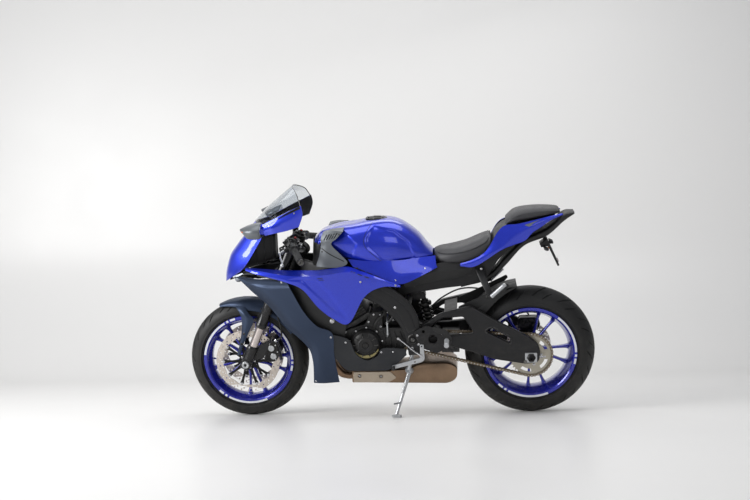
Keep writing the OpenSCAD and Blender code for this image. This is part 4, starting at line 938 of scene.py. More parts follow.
# %% [markdown]
# Under the brow sits a gloss black band with a slim position lamp at the nose end. The lamp is a clear
# cover over a light guide, and the band runs back under the side panel as a duct mouth.

# %% Lamp band and position lamps
LAMP = [[(1462, 66, 748), (1396, 130, 782), (1300, 210, 784), (1202, 238, 758)],
    [(1468, 62, 730), (1410, 122, 762), (1306, 204, 764), (1204, 232, 748)],
    [(1470, 60, 716), (1418, 118, 738), (1308, 186, 738), (1204, 220, 736)]]
lamp_part = pressed(grid(LAMP, 12, across=10), [(1440, 745), (1300, 776), (1225, 756), (1300, 744),
    (1420, 738)], 7, 7)
panel("lamp_bands", lamp_part, GLOSS_BLACK, core=(1200, 0, 740), both=True, stands_for=["headlamps"],
    lining=False)
lamp_skin = Skin(lamp_part)
eye = [lamp_skin.patch([(1458, 733, 3), (1448, 748, 6), (1380, 776, 6), (1366, 772, 4), (1420, 742, 8)], 5),
    lamp_skin.patch([(1450, 734, 3), (1440, 744, 4), (1388, 768, 4), (1384, 764, 3), (1420, 742, 6)], 2.5)]
piece("position_lamp_covers", *eye[0], "chassis", LENS, both=True, edge=1)
piece("position_lamp_guides", *eye[1], "chassis", LED, both=True)
projector = merged(*[turned([(0.01, 16), (14, 15), (19, 11), (21, 4), (23, 2), (23, -20), (0.01, -20)],
    (1430, s * 62, 728), (0.9, s * 0.2, -0.25), 32) for s in (-1, 1)])
piece("main_lamp_projectors", *projector, "chassis", MIRROR_GLASS)
print("lamps set")

# %% [markdown]
# The side panel has a flat ledge on top, a rounded shoulder, and a face that sweeps inward to its low
# point. The ledge and the face are one grid with a fold along the shoulder.

# %% Side panels
SIDE = [[(1362, 166, 799), (1300, 184, 796), (1165, 190, 786), (1080, 192, 784), (1010, 192, 784),
    (940, 190, 790), (868, 190, 797), (800, 198, 774), (710, 204, 738), (618, 203, 702)],
    [(1364, 178, 799), (1300, 222, 794), (1165, 256, 775), (1080, 262, 770), (1010, 262, 770),
    (940, 250, 774), (868, 238, 780), (795, 222, 762), (705, 210, 731), (618, 206, 699)],
    [(1365, 184, 795), (1300, 228, 786), (1162, 262, 756), (1080, 265, 735), (1011, 259, 695),
    (941, 246, 660), (869, 235, 650), (792, 223, 705), (706, 211, 714), (617, 207, 697)],
    [(1366, 188, 790), (1300, 231, 778), (1158, 263, 742), (1080, 263, 704), (1011, 251, 613),
    (941, 237, 551), (869, 228, 527), (790, 219, 653), (708, 210, 696), (616, 207, 694)]]
side_part = grid(SIDE, 10, folds=(1,), across=12)
side_part = pressed(side_part, [(1170, 752), (1090, 742), (1012, 660), (948, 585), (880, 545), (872, 560),
    (960, 700), (1000, 752), (1100, 766)], 5, 16, 150)
for side, tag in ((1, "left"), (-1, "right")):
    panel("side_panel_" + tag, side_part if side > 0 else flipped(side_part), BLUE, core=(950, 0, 650),
        stands_for=["side_fairing_" + tag])
side_skin = Skin(side_part)
slots = [side_skin.patch([(x, z + 3, 1.5), (x - 22, z - 5, 1.5), (x - 22, z - 10, 1.5), (x, z - 2, 1.5)],
    0.6) for x, z in ((850, 779), (818, 766), (786, 752))]
slots += [side_skin.patch([(x, z + 1.5, 1), (x - 24, z + 1.5, 1), (x - 30, z - 2, 1), (x - 6, z - 2, 1)],
    0.6) for x, z in ((1010, 757), (1004, 749))]
piece("side_panel_slots", *merged(*slots), "chassis", PLASTIC, both=True)
fixings = [side_skin.screw(x, z, 5) for x, z in ((806, 728), (640, 703))]
piece("side_panel_screws", *merged(*fixings), "chassis", STEEL, both=True)
print("side panel points", len(side_part[0]))

# %% [markdown]
# The slate lower cowl starts under the lamps with a rounded lip, falls back past the front wheel and turns
# under the engine as a belly panel. Two grids meet there. Pulling the lip outline out gives the band its
# own highlight.

# %% Lower cowls
COWL = [[(1421, 138, 749), (1340, 158, 672), (1269, 172, 612), (1179, 182, 500), (1085, 188, 405),
    (1060, 190, 330), (1062, 176, 214)], [(1330, 196, 748), (1270, 208, 682), (1205, 214, 612),
    (1128, 214, 512), (1050, 210, 432), (1015, 207, 345), (1010, 184, 214)],
    [(1165, 240, 742), (1138, 242, 696), (1084, 238, 589), (1024, 228, 514), (955, 216, 474),
    (950, 208, 360), (935, 176, 216)]]
BELLY = [[(967, 214.5, 470), (905, 206, 452), (872, 203, 430), (845, 203, 366), (795, 203, 332),
    (742, 203, 352), (712, 201, 391), (604, 196, 384)],
    [(964, 209.8, 410), (920, 201, 360), (872, 200, 330), (845, 200, 305), (795, 200, 300), (742, 200, 305),
    (690, 198, 330), (602, 195, 368)], [(962, 206, 364), (905, 196, 290), (872, 195, 279), (845, 195, 276),
    (795, 195, 276), (742, 195, 277), (682, 195, 284), (600, 194, 353)]]
cowl_part = pressed(grid(COWL, 14, across=26), [(1440, 753), (1140, 753), (1133, 706), (1250, 702),
    (1370, 712)], -9, 18)
belly_part = grid(BELLY, 10, across=10)
for side, tag in ((1, "left"), (-1, "right")):
    turn = (lambda p: p) if side > 0 else flipped
    panel("lower_cowl_%s_shell" % tag, turn(cowl_part), SLATE, core=(1000, 0, 450),
        stands_for=["lower_cowl_" + tag])
    # the belly panel's darker slate is painted shade
    panel("belly_panel_" + tag, turn(belly_part), SHADED_SLATE, core=(800, 0, 400))
cowl_skin, belly_skin = Skin(cowl_part), Skin(belly_part)
fixings = [cowl_skin.screw(1186, 735, 5), cowl_skin.screw(1050, 224, 4), cowl_skin.screw(962, 455, 5),
    belly_skin.screw(722, 372, 5), belly_skin.screw(893, 425, 5), belly_skin.screw(665, 372, 4)]
piece("lower_cowl_screws", *merged(*fixings), "chassis", STEEL, both=True)
print("cowl points", len(cowl_part[0]))

# %% [markdown]
# Behind the gap between the blue and the slate panels lies a black duct wall, which keeps daylight from
# showing through the machine.

# %% Inner duct walls
DUCT = [[(1150, 205, 735), (1080, 214, 706), (1011, 206, 630), (945, 196, 570), (880, 190, 540)],
    [(1146, 196, 640), (1085, 198, 545), (1016, 190, 470), (962, 186, 420), (905, 182, 420)]]
panel("inner_duct_walls", grid(DUCT, 8), PLASTIC, core=(1000, 0, 600), both=True,
    stands_for=["inner_panels"], lining=False)
print("duct walls set")

# %% [markdown]
# ## Tank, seats and tail
# The tank is a loft of sections from the steering head to the seat, each drawn by half. A dense skin lets
# us press the knee hollow into its side with a firm edge, which is the line that gives such a tank its
# character.

# %% Fuel tank
# x, top z, shoulder y and z, widest y and z, low y and z, bottom z
TANK = [(1034, 925, 60, 920, 100, 905, 90, 890, 886), (1000, 950, 80, 945, 138, 915, 125, 880, 872),
    (930, 970, 95, 964, 150, 915, 140, 850, 842), (850, 981, 105, 972, 158, 915, 150, 826, 812),
    (769, 996, 110, 980, 162, 912, 160, 812, 796), (695, 1000, 105, 985, 160, 908, 158, 806, 790),
    (640, 992, 95, 977, 150, 900, 146, 806, 790), (586, 966, 85, 950, 132, 880, 128, 808, 792),
    (527, 918, 75, 905, 112, 860, 110, 812, 796), (492, 872, 66, 864, 98, 842, 96, 816, 802),
    (462, 838, 50, 834, 80, 828, 78, 818, 808)]


def section(row):
    x, top, sy, sz, wy, wz, ly, lz, low = row
    half = [(x, sy, sz), (x, wy, wz), (x, ly, lz), (x, ly * 0.5, low)]
    return [(x, 0, top), *half, (x, 0, low), *[(a, -b, c) for a, b, c in reversed(half)]]


def body_loft(table, along, round_steps):
    rows = []
    for p in range(len(table[0])):
        rows.append(line([(r[p], 0, 0) for r in table], along))
    return loft([ring_line(section([c[i].x for c in rows]), round_steps) for i in range(len(rows[0]))])


KNEE = [(742, 985), (780, 925), (776, 880), (700, 812), (600, 800), (540, 815), (575, 900), (640, 955)]
tank_part = body_loft(TANK, 14, 16)
tank_part = pressed(tank_part, KNEE, 7, 9, 60)
tank_part = pressed(tank_part, [(1010, 972), (880, 962), (815, 900), (850, 830), (1010, 870)], 4, 10, 60)
piece("fuel_tank_shell", *tank_part, "chassis", BLUE, sharp=60, stands_for=["fuel_tank"])
tank_skin = Skin(tank_part)
seam = [tank_skin.strip([(748, 992), (782, 941), (785, 893), (740, 842), (690, 800)], 2.2, 0.25, 8)]
seam += [tank_skin.strip([(1000, 905), (930, 868), (860, 826)], 3, 0.3, 8)]
piece("tank_seams", *merged(*seam), "chassis", PLASTIC, both=True)
print("tank points", len(tank_part[0]))

# %% [markdown]
# The filler is an aircraft-style cap: a bright flange held by a ring of screws, a lid with a lock flap, and
# a hinge pin at its front edge. Only the lid rides on the part that opens.

# %% Fuel filler
CAP_X, CAP_Z = 735, 997
flange = turned([(41, 0.1), (41, 3.0), (44, 4.4), (51, 4.2), (54, 1.6), (55, -6), (41, -6)],
    (CAP_X, 0, CAP_Z), (0, 0, 1), 64)
collar_bolts = [cap_bolt((CAP_X + 48 * math.cos(a), 48 * math.sin(a), CAP_Z + 3), (0, 0, 1), 3.4, 2.6)
    for a in (2 * math.pi * (k + 0.5) / 7 for k in range(7))]
piece("filler_flange", *flange, "chassis", CARRIER, edge=0.5)
piece("filler_bolts", *merged(*collar_bolts), "chassis", STEEL)
lid = turned([(0.01, 8.2), (22, 8.6), (34, 7.6), (38.5, 5.4), (40, 2), (40, 0.4), (0.01, 0.4)],
    (CAP_X, 0, CAP_Z), (0, 0, 1), 64)
flap = loft([[(CAP_X - 24 + x, y * w, CAP_Z + 8 + h) for x,
    y in ((0, -9), (26, -11), (36, -8), (36, 8), (26, 11), (0, 9))] for w,
    h in ((1, 0), (1, 2.2), (0.85, 3.2))])
pin = turned([(0.01, 24), (3.2, 24), (4, 23), (4, 1), (3.2, 0), (0.01, 0)], (CAP_X + 44, -12, CAP_Z + 4.5),
    turns=20)
knuckle = loft([[(CAP_X + 34, s, CAP_Z + 0.6), (CAP_X + 43.5, s, CAP_Z + 1), (CAP_X + 43.5, s, CAP_Z + 8),
    (CAP_X + 34, s, CAP_Z + 8)] for s in (-11, 11)])
piece("filler_lid", *merged(lid, flap, pin, knuckle), "fuel_cap", CARRIER, edge=0.5,
    stands_for=["fuel_cap"])
print("filler set")

# %% [markdown]
# Gunmetal covers close the air intakes ahead of the tank. Five slanted louvres are pressed into the upper
# field with black patches of painted shade in their gaps, and a painted slit of shadow divides the upper
# field from the lower one.

# %% Intake covers
INTAKE = [[(984, 84, 954), (940, 94, 967), (886, 100, 974)],
    [(982, 142, 962), (938, 152, 967), (886, 160, 962)],
    [(996, 154, 928), (962, 166, 926), (916, 171, 932)],
    [(996, 158, 893), (972, 168, 896), (944, 173, 904)],
    [(1006, 164, 846), (966, 178, 848), (903, 182, 858)],
    [(1018, 170, 812), (960, 186, 810), (868, 188, 815)],
    [(1020, 174, 798), (970, 188, 794), (905, 189, 791)]]
intake_part = grid(INTAKE, 30, folds=(1,), across=14)
LOUVRES = [(982 - 12.5 * k, 922 + 2 * k) for k in range(5)]
for x, z in LOUVRES:
    intake_part = pressed(intake_part, [(x, z), (x - 6, z), (x - 21, z + 26), (x - 15, z + 26)], 6, 2)
panel("intake_cover_shells", intake_part, GUNMETAL, core=(950, 0, 870), both=True,
    stands_for=["intake_covers"])
intake_skin = Skin(intake_part)
# Painted shade: the black patches in the louvre gaps and the black strip of the slit stand in for the shade
# inside the intake.
gaps = [intake_skin.patch([(x - 0.8, z + 1.4, 1), (x - 5.2, z + 1.4, 1), (x - 20, z + 24.6, 1),
    (x - 15.6, z + 24.6, 1)], 0.3) for x, z in LOUVRES]
gaps += [intake_skin.strip([(992, 884), (950, 856), (884, 822)], 5, 0.4, 8)]
piece("intake_louvre_gaps", *merged(*gaps), "chassis", HOSE, both=True)
piece("intake_cover_screws", *merged(intake_skin.screw(990, 868, 4), intake_skin.screw(905, 950, 3.5)),
    "chassis", CARRIER, both=True)
print("louvres", len(LOUVRES))

# %% [markdown]
# Under the tank a blue side cover tapers back to the seat.

# %% Side covers
COVER = [[(868, 160, 828), (780, 166, 818), (690, 164, 814), (600, 142, 814), (520, 116, 819),
    (450, 94, 822)], [(845, 176, 795), (760, 182, 765), (680, 180, 748), (600, 166, 752), (520, 142, 768),
    (446, 116, 782)], [(835, 178, 790), (740, 186, 742), (660, 186, 712), (600, 176, 704), (515, 152, 736),
    (440, 124, 770)]]
cover_part = grid(COVER, 12, across=12)
panel("tank_side_covers", cover_part, BLUE, core=(650, 0, 760), both=True, stands_for=["side_covers"])
cover_skin = Skin(cover_part)
piece("side_cover_screws", *merged(cover_skin.screw(500, 768, 4), cover_skin.screw(640, 722, 4)), "chassis",
    STEEL, both=True)
dashes = [cover_skin.strip([(x, z), (x - 26, z - 11)], 3.2, 0.4, 4) for x,
    z in ((812, 780), (776, 765), (740, 750))]
piece("side_cover_slots", *merged(*dashes), "chassis", PLASTIC, both=True)
print("side cover points", len(cover_part[0]))

# %% [markdown]
# Motorcycle seats are vinyl drawn tight over moulded foam. We let a cloth simulation press the cover out
# from inside, as the foam does, after remeshing the drawn form; the move is capped so that the seat keeps
# its line. A welt of piping then follows the lower edge.

# %% Seat covers
def foam(name, table, finish, stands_for, cap):
    """A seat pad: the drawn form, swelled a little by cloth under pressure."""
    part = body_loft(table, 8, 8)
    thing = piece(name, *part, "chassis", finish, sharp=80, stands_for=stands_for)
    remesh = thing.modifiers.new("even", "REMESH")
    remesh.mode, remesh.voxel_size = "VOXEL", 0.006
    even = bpy.data.meshes.new_from_object(thing.evaluated_get(bpy.context.evaluated_depsgraph_get()))
    thing.modifiers.clear()
    thing.data = even
    start = [v.co.copy() for v in even.vertices]
    drape = thing.modifiers.new("cover", "CLOTH")
    drape.settings.use_pressure = True
    drape.settings.uniform_pressure_force = 4
    drape.settings.effector_weights.gravity = 0
    for f in range(1, 13):
        bpy.context.scene.frame_set(f)
    swelled = bpy.data.meshes.new_from_object(thing.evaluated_get(bpy.context.evaluated_depsgraph_get()))
    thing.modifiers.clear()
    for v, old in zip(swelled.vertices, start):
        step = v.co - old
        v.co = old + step * min(1, cap * 0.001 / max(step.length, 1e-9))
    thing.data = swelled
    bpy.context.scene.frame_set(1)
    swelled.materials.clear()
    swelled.materials.append(finish)
    swelled.shade_smooth()
    soft = thing.modifiers.new("soft", "SMOOTH")
    soft.factor, soft.iterations = 0.5, 4
    return part


SEAT = [(456, 842, 40, 838, 66, 826, 64, 808, 800), (432, 846, 60, 842, 92, 822, 88, 790, 784),
    (377, 848, 80, 846, 120, 826, 112, 788, 782), (300, 862, 92, 862, 132, 838, 120, 796, 788),
    (230, 892, 92, 890, 128, 862, 116, 822, 812), (180, 915, 84, 910, 112, 888, 100, 858, 848)]
PILLION = [(106, 985, 56, 982, 84, 970, 80, 956, 952), (60, 1022, 70, 1016, 98, 998, 92, 976, 972),
    (-17, 1033, 72, 1028, 98, 1008, 92, 988, 984), (-100, 1031, 66, 1028, 88, 1016, 84, 1002, 998),
    (-154, 1026, 50, 1024, 70, 1018, 66, 1010, 1006)]
seat_part = foam("rider_seat_cover", SEAT, VINYL, ["rider_seat"], 3)
pillion_part = foam("pillion_pad_cover", PILLION, VINYL, ["pillion_seat"], 2.5)
seat_skin, pillion_skin = Skin(seat_part), Skin(pillion_part)
welts = [seat_skin.strip([(440, 836), (400, 832), (340, 838), (270, 856), (210, 884), (190, 904)], 2.4, 1.6,
    10), pillion_skin.strip([(96, 982), (50, 1006), (-20, 1018), (-100, 1022), (-146, 1020)], 2.2, 1.4, 10)]
piece("seat_welts", *merged(*welts), "chassis", VINYL, both=True, edge=0.4)
print("seats", len(seat_part[0]), len(pillion_part[0]))

# %% [markdown]
# The tail is two blue side panels over a black undertray that ends in a sharp tip with the rear lamp below
# it. A black bridge rises between the two seats and closes the view down to the rear wheel.

# %% Tail panels, undertray and tail lamp
TAIL = [[(330, 132, 786), (258, 134, 810), (200, 128, 850), (150, 118, 930), (112, 108, 962),
    (50, 108, 968), (-30, 104, 984), (-100, 94, 998), (-160, 80, 1008)],
    [(330, 138, 780), (257, 144, 796), (180, 140, 840), (110, 132, 890), (60, 126, 925), (0, 120, 950),
    (-50, 112, 970), (-104, 100, 990), (-164, 82, 1006)],
    [(329, 138, 774), (256, 142, 774), (137, 138, 846), (80, 132, 868), (20, 122, 888), (-19, 114, 925),
    (-60, 108, 950), (-108, 98, 980), (-166, 82, 1002)]]
tail_part = grid(TAIL, 10, across=12)
panel("tail_side_panels", tail_part, BLUE, core=(100, 0, 880), both=True, stands_for=["tail_cowl"])
BRIDGE = [[(206, 124, 838), (206, 60, 838), (206, 0, 838)],
    [(176, 119, 880), (176, 60, 884), (176, 0, 885)], [(148, 113, 922), (148, 60, 926), (148, 0, 927)],
    [(112, 104, 952), (112, 56, 953), (112, 0, 953)], [(60, 102, 960), (60, 54, 962), (60, 0, 962)],
    [(-30, 100, 977), (-30, 54, 978), (-30, 0, 978)], [(-130, 83, 995), (-130, 44, 996), (-130, 0, 996)]]
bridge_part = grid(whole(BRIDGE), 6, across=6)
panel("seat_bridge", bridge_part, PLASTIC, core=(200, 0, 960), lining=False)
tail_skin = Skin(tail_part)
vent = tail_skin.patch([(20, 962, 2), (-40, 980, 4), (-120, 1000, 2), (-60, 974, 6), (0, 954, 4)], 0.8)
piece("tail_vent_inserts", *vent, "chassis", GUNMETAL, both=True, edge=0.3)
TRAY = [(330, 664, 40, 664, 60, 662, 56, 652, 650), (190, 715, 40, 715, 60, 710, 56, 690, 686),
    (110, 800, 40, 800, 60, 790, 56, 760, 754), (20, 880, 44, 880, 60, 872, 54, 852, 846),
    (-90, 935, 50, 935, 70, 925, 60, 900, 892), (-170, 1000, 50, 1000, 66, 990, 60, 968, 960),
    (-222, 1008, 40, 1008, 52, 1004, 46, 998, 996)]
piece("undertray_shell", *body_loft(TRAY, 10, 10), "chassis", PLASTIC, sharp=60, stands_for=["undertray"])
lens = loft([[(x, y, z) for y, z in ((-w, t), (w, t), (w * 0.8, b), (-w * 0.8, b))] for x, w, t,
    b in ((-176, 52, 990, 972), (-196, 48, 999, 985), (-214, 42, 1002, 996))])
piece("tail_lamp", *lens, "chassis", TAIL_RED, edge=2)
print("tail points", len(tail_part[0]))

# %% [markdown]
# ## Frame, engine and drive
# The main frame is a pair of broad cast beams from the steering head round the engine to the swingarm
# pivot. A flat bar swept along a line would look stamped, so each section is a rounded box with a raised
# rib.

# %% Main frame beams
# x, y, z and width of the beam
SPAR = [(1150, 34, 792, 70), (1080, 88, 777, 74), (960, 150, 742, 104), (820, 173, 702, 104),
    (700, 176, 645, 104), (612, 175, 565, 108), (570, 174, 470, 84), (560, 174, 350, 60)]


def beam(stations, thick, steps=8, sides=20, square=0.45):
    """A bar along stations of x, y, z and width, thick across the bike."""
    way, rings = line(stations, steps), []
    for i, p in enumerate(way):
        d = (way[min(i + 1, len(way) - 1)].xyz - way[max(i - 1, 0)].xyz).normalized()
        v = d.cross(Vector((0, 1, 0))).normalized()
        u = v.cross(d)
        rings.append([p.xyz + u * thick / 2 * math.copysign(abs(math.cos(a)) ** square,
            math.cos(a)) + v * p.w / 2 * math.copysign(abs(math.sin(a)) ** square, math.sin(a))
            for a in (2 * math.pi * (k + 0.5) / sides for k in range(sides))])
    return loft(rings)


spar = beam(SPAR, 22)
piece("frame_beams", *spar, "chassis", CASTING, both=True, sharp=50)
rib = beam([(x, y + 9, z, w * 0.5) for x, y, z, w in SPAR[2:-1]], 10, square=0.6)
piece("frame_beam_ribs", *rib, "chassis", CASTING, both=True, sharp=50)
pivot_cap = merged(turned([(0.01, 15), (9, 15), (10, 13), (10, 5), (14, 4), (21, 4), (24, 1), (24, -8),
    (0.01, -8)], (568, 185, 430), turns=32))
piece("pivot_caps", *pivot_cap, "chassis", CARRIER, both=True)
frame_bolts = [hex_bolt((x, 187, z), (0, 1, 0), 7, 6) for x, z in ((648, 590),)]
frame_bolts += [cap_bolt((x, y, z), (0, 1, 0), 9, 5) for x, y, z in ((840, 184, 668), (575, 185, 384))]
piece("frame_bolts", *merged(*frame_bolts), "chassis", STEEL, both=True)
print("frame beams", len(spar[0]))

# %% [markdown]
# The machine hides most of its engine. What shows gets real covers: the generator cover with its ring of
# screws and a crescent guard on the left, the clutch cover on the right, a ribbed crankcase, and the
# sprocket cover over the front of the chain.

# %% Engine covers
CRANK = (797, 405)


def cover(x, z, profile, y, side, turns=72):
    part = turned([(r, h) for r, h in profile], (x, 0, z), turns=turns)
    lifted = [Vector((p.x, y + p.y, p.z)) for p in part[0]], part[1]
    return lifted if side > 0 else flipped(lifted)


generator = cover(*CRANK, [(0.01, 58), (12, 58), (14, 55), (16, 55), (18, 57), (34, 57), (38, 54), (44, 53),
    (52, 50), (58, 46), (62, 44), (64, 38), (70, 33), (74, 26), (76, 16), (84, 14), (84, 0), (0.01, 0)],
    140, 1)
clutch = cover(708, 468, [(0.01, 26), (20, 26), (24, 23), (46, 22), (50, 18), (60, 16), (64, 10), (72, 8),
    (72, -50), (0.01, -50)], 186, -1)
starter = cover(*CRANK, [(0.01, 38), (40, 38), (48, 32), (54, 24), (60, 20), (60, 0), (0.01, 0)], 140, -1)
ribs = [plate([[(CRANK[0] + r * math.cos(t), CRANK[1] + r * math.sin(t)) for r,
    t in ((40, a - 0.03), (62, a - 0.022), (62, a + 0.022), (40, a + 0.03))]], 190, 196, 0.5)
    for a in (2 * math.pi * k / 10 for k in range(10))]
piece("engine_covers", *merged(generator, clutch, starter, *ribs), "chassis", CRANKCASE, edge=0.7)
guard = [(CRANK[0] + r * math.cos(t), CRANK[1] + r * math.sin(t)) for r,
    t in [(66, math.radians(200 + 5 * k)) for k in range(27)]
    + [(50 + 12 * abs(k - 13) / 13, math.radians(330 - 5 * k)) for k in range(27)]]
piece("generator_guard", *plate([guard], 183, 192, 1.2), "chassis", GUARD)
case_bolts = [cap_bolt((CRANK[0] + 79 * math.cos(a), 154, CRANK[1] + 79 * math.sin(a)), (0, 1, 0), 4.6, 4)
    for a in (2 * math.pi * (k + 0.3) / 9 for k in range(9))]
case_bolts += [cap_bolt((708 + 67 * math.cos(a), -194, 468 + 67 * math.sin(a)), (0, -1, 0), 4.6, 4)
    for a in (2 * math.pi * k / 10 for k in range(10))]
piece("cover_screws", *merged(*case_bolts), "chassis", STEEL)
drive_cover = plate([outline([(728, 482, 8), (602, 478, 24), (596, 384, 24), (640, 364, 20),
    (728, 370, 8)])], 130, 151, 3)
rib_lines = [tube([(716 - 28 * k, 152, 470 - 3 * k), (704 - 28 * k, 153, 420),
    (708 - 26 * k, 152, 378 + 2 * k)], 3, 8) for k in range(4)]
piece("sprocket_cover", *merged(drive_cover, *rib_lines), "chassis", CRANKCASE, edge=0.8)
barrel = [loft([[(x, s * 150, z) for x, z in outline([(770, 548, 10), (900, 472, 8), (908, 486, 8),
    (778, 562, 10)])] for s in (0.2, 1.0)])]
piece("cylinder_flange", *merged(*barrel), "chassis", CRANKCASE, both=True, edge=1.2)
hoses = [tube([(905, 150, 360), (930, 160, 430), (950, 168, 500), (990, 172, 560), (1030, 165, 600)], 13,
    12), tube([(840, 120, 690), (900, 150, 660), (960, 160, 640), (1030, 160, 660)], 15, 12),
    tube([(760, 150, 470), (740, 165, 520), (700, 160, 560), (690, 120, 620)], 6, 8),
    tube([(700, 152, 500), (668, 168, 530), (640, 160, 590)], 5, 8)]
piece("coolant_hoses", *merged(*hoses), "chassis", HOSE)
print("engine covers dressed")

# %% [markdown]
# The radiator is a curved core between two tanks. Fine fins are too small to model one by one; rows of thin
# tubes in front of the core read well and stay light.

# %% Radiator
tubes = []
for k in range(26):
    z = 440 + 9.5 * k
    rings = []
    for t in (math.radians(-10 + 20 * q / 12) for q in range(13)):
        rings.append([(168 + r * math.cos(t), r * math.sin(t), z + h) for r,
            h in ((898, -1.6), (902, -1.2), (902, 1.2), (898, 1.6))])
    tubes.append(loft(rings))
tanks = [loft([[(x, s * y, z) for x, z in outline([(1022, 428, 8), (1060, 428, 8), (1060, 696, 8),
    (1022, 696, 8)])] for y in (150, 171)]) for s in (-1, 1)]
piece("radiator_tubes", *merged(*tubes), "chassis", CORE)
piece("radiator_tanks", *merged(*tanks), "chassis", CARRIER, edge=2)
print("radiator tubes", len(tubes))

# %% [markdown]
# Four headers leave the cylinder head, drop in front of the engine and gather under it in a flat silencer
# box. Heat has turned them bronze. A plate with two round recesses shields the left side.

# %% Exhaust
PORTS = [(-112, -78), (-38, -26), (38, 26), (112, 78)]
pipes = []
for y, low in PORTS:
    pipes.append(tube([(959, y, 539.3), (986, y, 525), (1004, y, 486), (997, y * 0.97, 395),
        (970, y * 0.9, 292), (936, y * 0.8, 238), (905, low, 222), (881.6, low, 220)], 18, 20, 8))
    pipes.append(turned([(19, 0.5), (26, 0.5), (27, 2), (27, 6), (25, 8), (19, 8)], (954.6, y, 541.8),
        (0.868, 0, -0.496), 32))
piece("exhaust_header_pipes", *merged(*pipes), "chassis", HEADER, stands_for=["exhaust_headers"], sharp=40)
CAN = [(880, 250, 6), (880, 190, 6), (640, 184, 20), (400, 178, 24), (360, 204, 24), (358, 262, 20),
    (400, 284, 24), (545, 284, 24), (600, 256, 20), (690, 250, 10)]
shell_line = outline(CAN, 6)
middle = Vector((620, 228))
rings = []
for y, k in ((-108, 0.9), (-106, 0.95), (-98, 1.0), (-60, 1.0), (0, 1.0), (60, 1.0), (98, 1.0), (106, 0.95),
    (108, 0.9)):
    rings.append([(middle.x + (p.x - middle.x) * (0.97 + 0.03 * k), y, middle.y + (p.y - middle.y) * k)
        for p in shell_line])
seams = [tube([(x, s * 100.5, 186), (x, s * 107, 200), (x, s * 107, 240), (x, s * 100.5, 255 + d)], 2.2, 8)
    for x, d in ((640, -2), (470, 26)) for s in (-1, 1)]
outlet = moved(lathe([(26, 0), (30, 0), (30, 96), (31.5, 100), (31, 104), (27, 104), (26, 96)], 40),
    facing((470, -80, 240), (-75, -78, 22)))
piece("silencer_box", *merged(loft(rings), *seams), "chassis", MUFFLER, edge=2, sharp=45,
    stands_for=["exhaust_silencer"])
piece("silencer_outlet", *outlet, "chassis", MUFFLER, edge=0.6)
shield = plate([outline([(872, 246, 8), (872, 194, 8), (700, 190, 8), (658, 214, 10), (690, 246, 8)]),
    circle(842, 226, 9, 24), circle(736, 222, 9, 24)], 108.5, 112.5, 1)
cups = [turned([(0.01, -3), (6, -3), (9.2, 1.5), (10.5, 1.5), (10.5, -4), (0.01, -4)], (x, 111, z),
    turns=24) for x, z in ((842, 226), (736, 222))]
piece("silencer_shield", *merged(shield, *cups), "chassis", SHIELD)
piece("silencer_shield_bolts", *merged(*[cap_bolt((x, 109, z), (0, 1, 0), 5, 4) for x,
    z in ((842, 226), (736, 222))]), "chassis", STEEL)
print("exhaust pipes", len(PORTS))

# %% [markdown]
# The swingarm is a deep alloy arm, slotted for lightness and braced on top. Its side outline with two
# windows is a plate with a generous chamfer; the cross members join left and right.

# %% Swingarm
ARM = [(592, 402, 14), (592, 458, 14), (555, 472, 20), (430, 548, 16), (284, 580, 18), (138, 490, 30),
    (20, 429, 30), (-36, 385, 24), (-46, 340, 16), (-36, 294, 16), (22, 285, 20), (177, 312, 30),
    (262, 343, 30), (400, 388, 30), (540, 396, 20)]
WINDOW = [(500, 468, 8), (424, 522, 10), (322, 528, 12), (272, 446, 12), (395, 434, 10), (500, 432, 8)]
SLOT = [(215, 452, 14), (190, 470, 14), (98, 416, 12), (100, 392, 12)]
arm = plate([outline(ARM, 8), outline(WINDOW, 6), outline(SLOT, 6), circle(0, REAR_R, 13, 32)], 128, 158, 7)
rim_lip = tube([(p.x, 157, p.y) for p in outline([(226, 454, 20), (188, 480, 20), (88, 420, 18),
    (90, 384, 18)], 5)], 3, 8, 0)
beams = [loft([[(345, s, 345), (430, s, 345), (430, s, 407), (345, s, 407)] for s in (-129, 129)]),
    loft([[(415, s, 545), (352, s, 558), (352, s, 544), (415, s, 531)] for s in (-129, 129)])]
trunnion = merged(turned([(11, 226), (24, 226), (25, 220), (25, 6), (24, 0), (11, 0)], (568, -130, 430),
    turns=32), plate([outline([(440, 412, 8), (440, 350, 8), (560, 408, 6), (560, 452, 6)])], 43, 60, 1.5),
    plate([outline([(440, 412, 8), (440, 350, 8), (560, 408, 6), (560, 452, 6)])], -128, -43, 1.5))
shock_links = merged(*[plate([outline([(420, 392, 6), (420, 352, 6), (482, 358, 14), (482, 386, 14)])],
    s - 4, s + 4, 0.8) for s in (-22, 22)])
piece("swingarm_sides", *arm, "chassis", CASTING, both=True, stands_for=["swingarm"])
piece("swingarm_slot_lips", *rim_lip, "chassis", CASTING, both=True)
piece("swingarm_members", *merged(*beams, trunnion, shock_links), "chassis", CASTING, edge=2.5)
spools = turned([(0.01, 16), (9, 16), (10, 14.5), (6.5, 12), (6.5, 3), (9, 0), (0.01, 0)], (30, 153, 300),
    turns=24)
piece("paddock_stand_spools", *spools, "chassis", CARRIER, both=True)
print("swingarm points", len(arm[0]))

# %% [markdown]
# A square adjuster block and a big nut hold the axle in the swingarm's end. They catch the eye at the
# middle of the wheel, so they get marks, a bored nut and an adjuster screw.

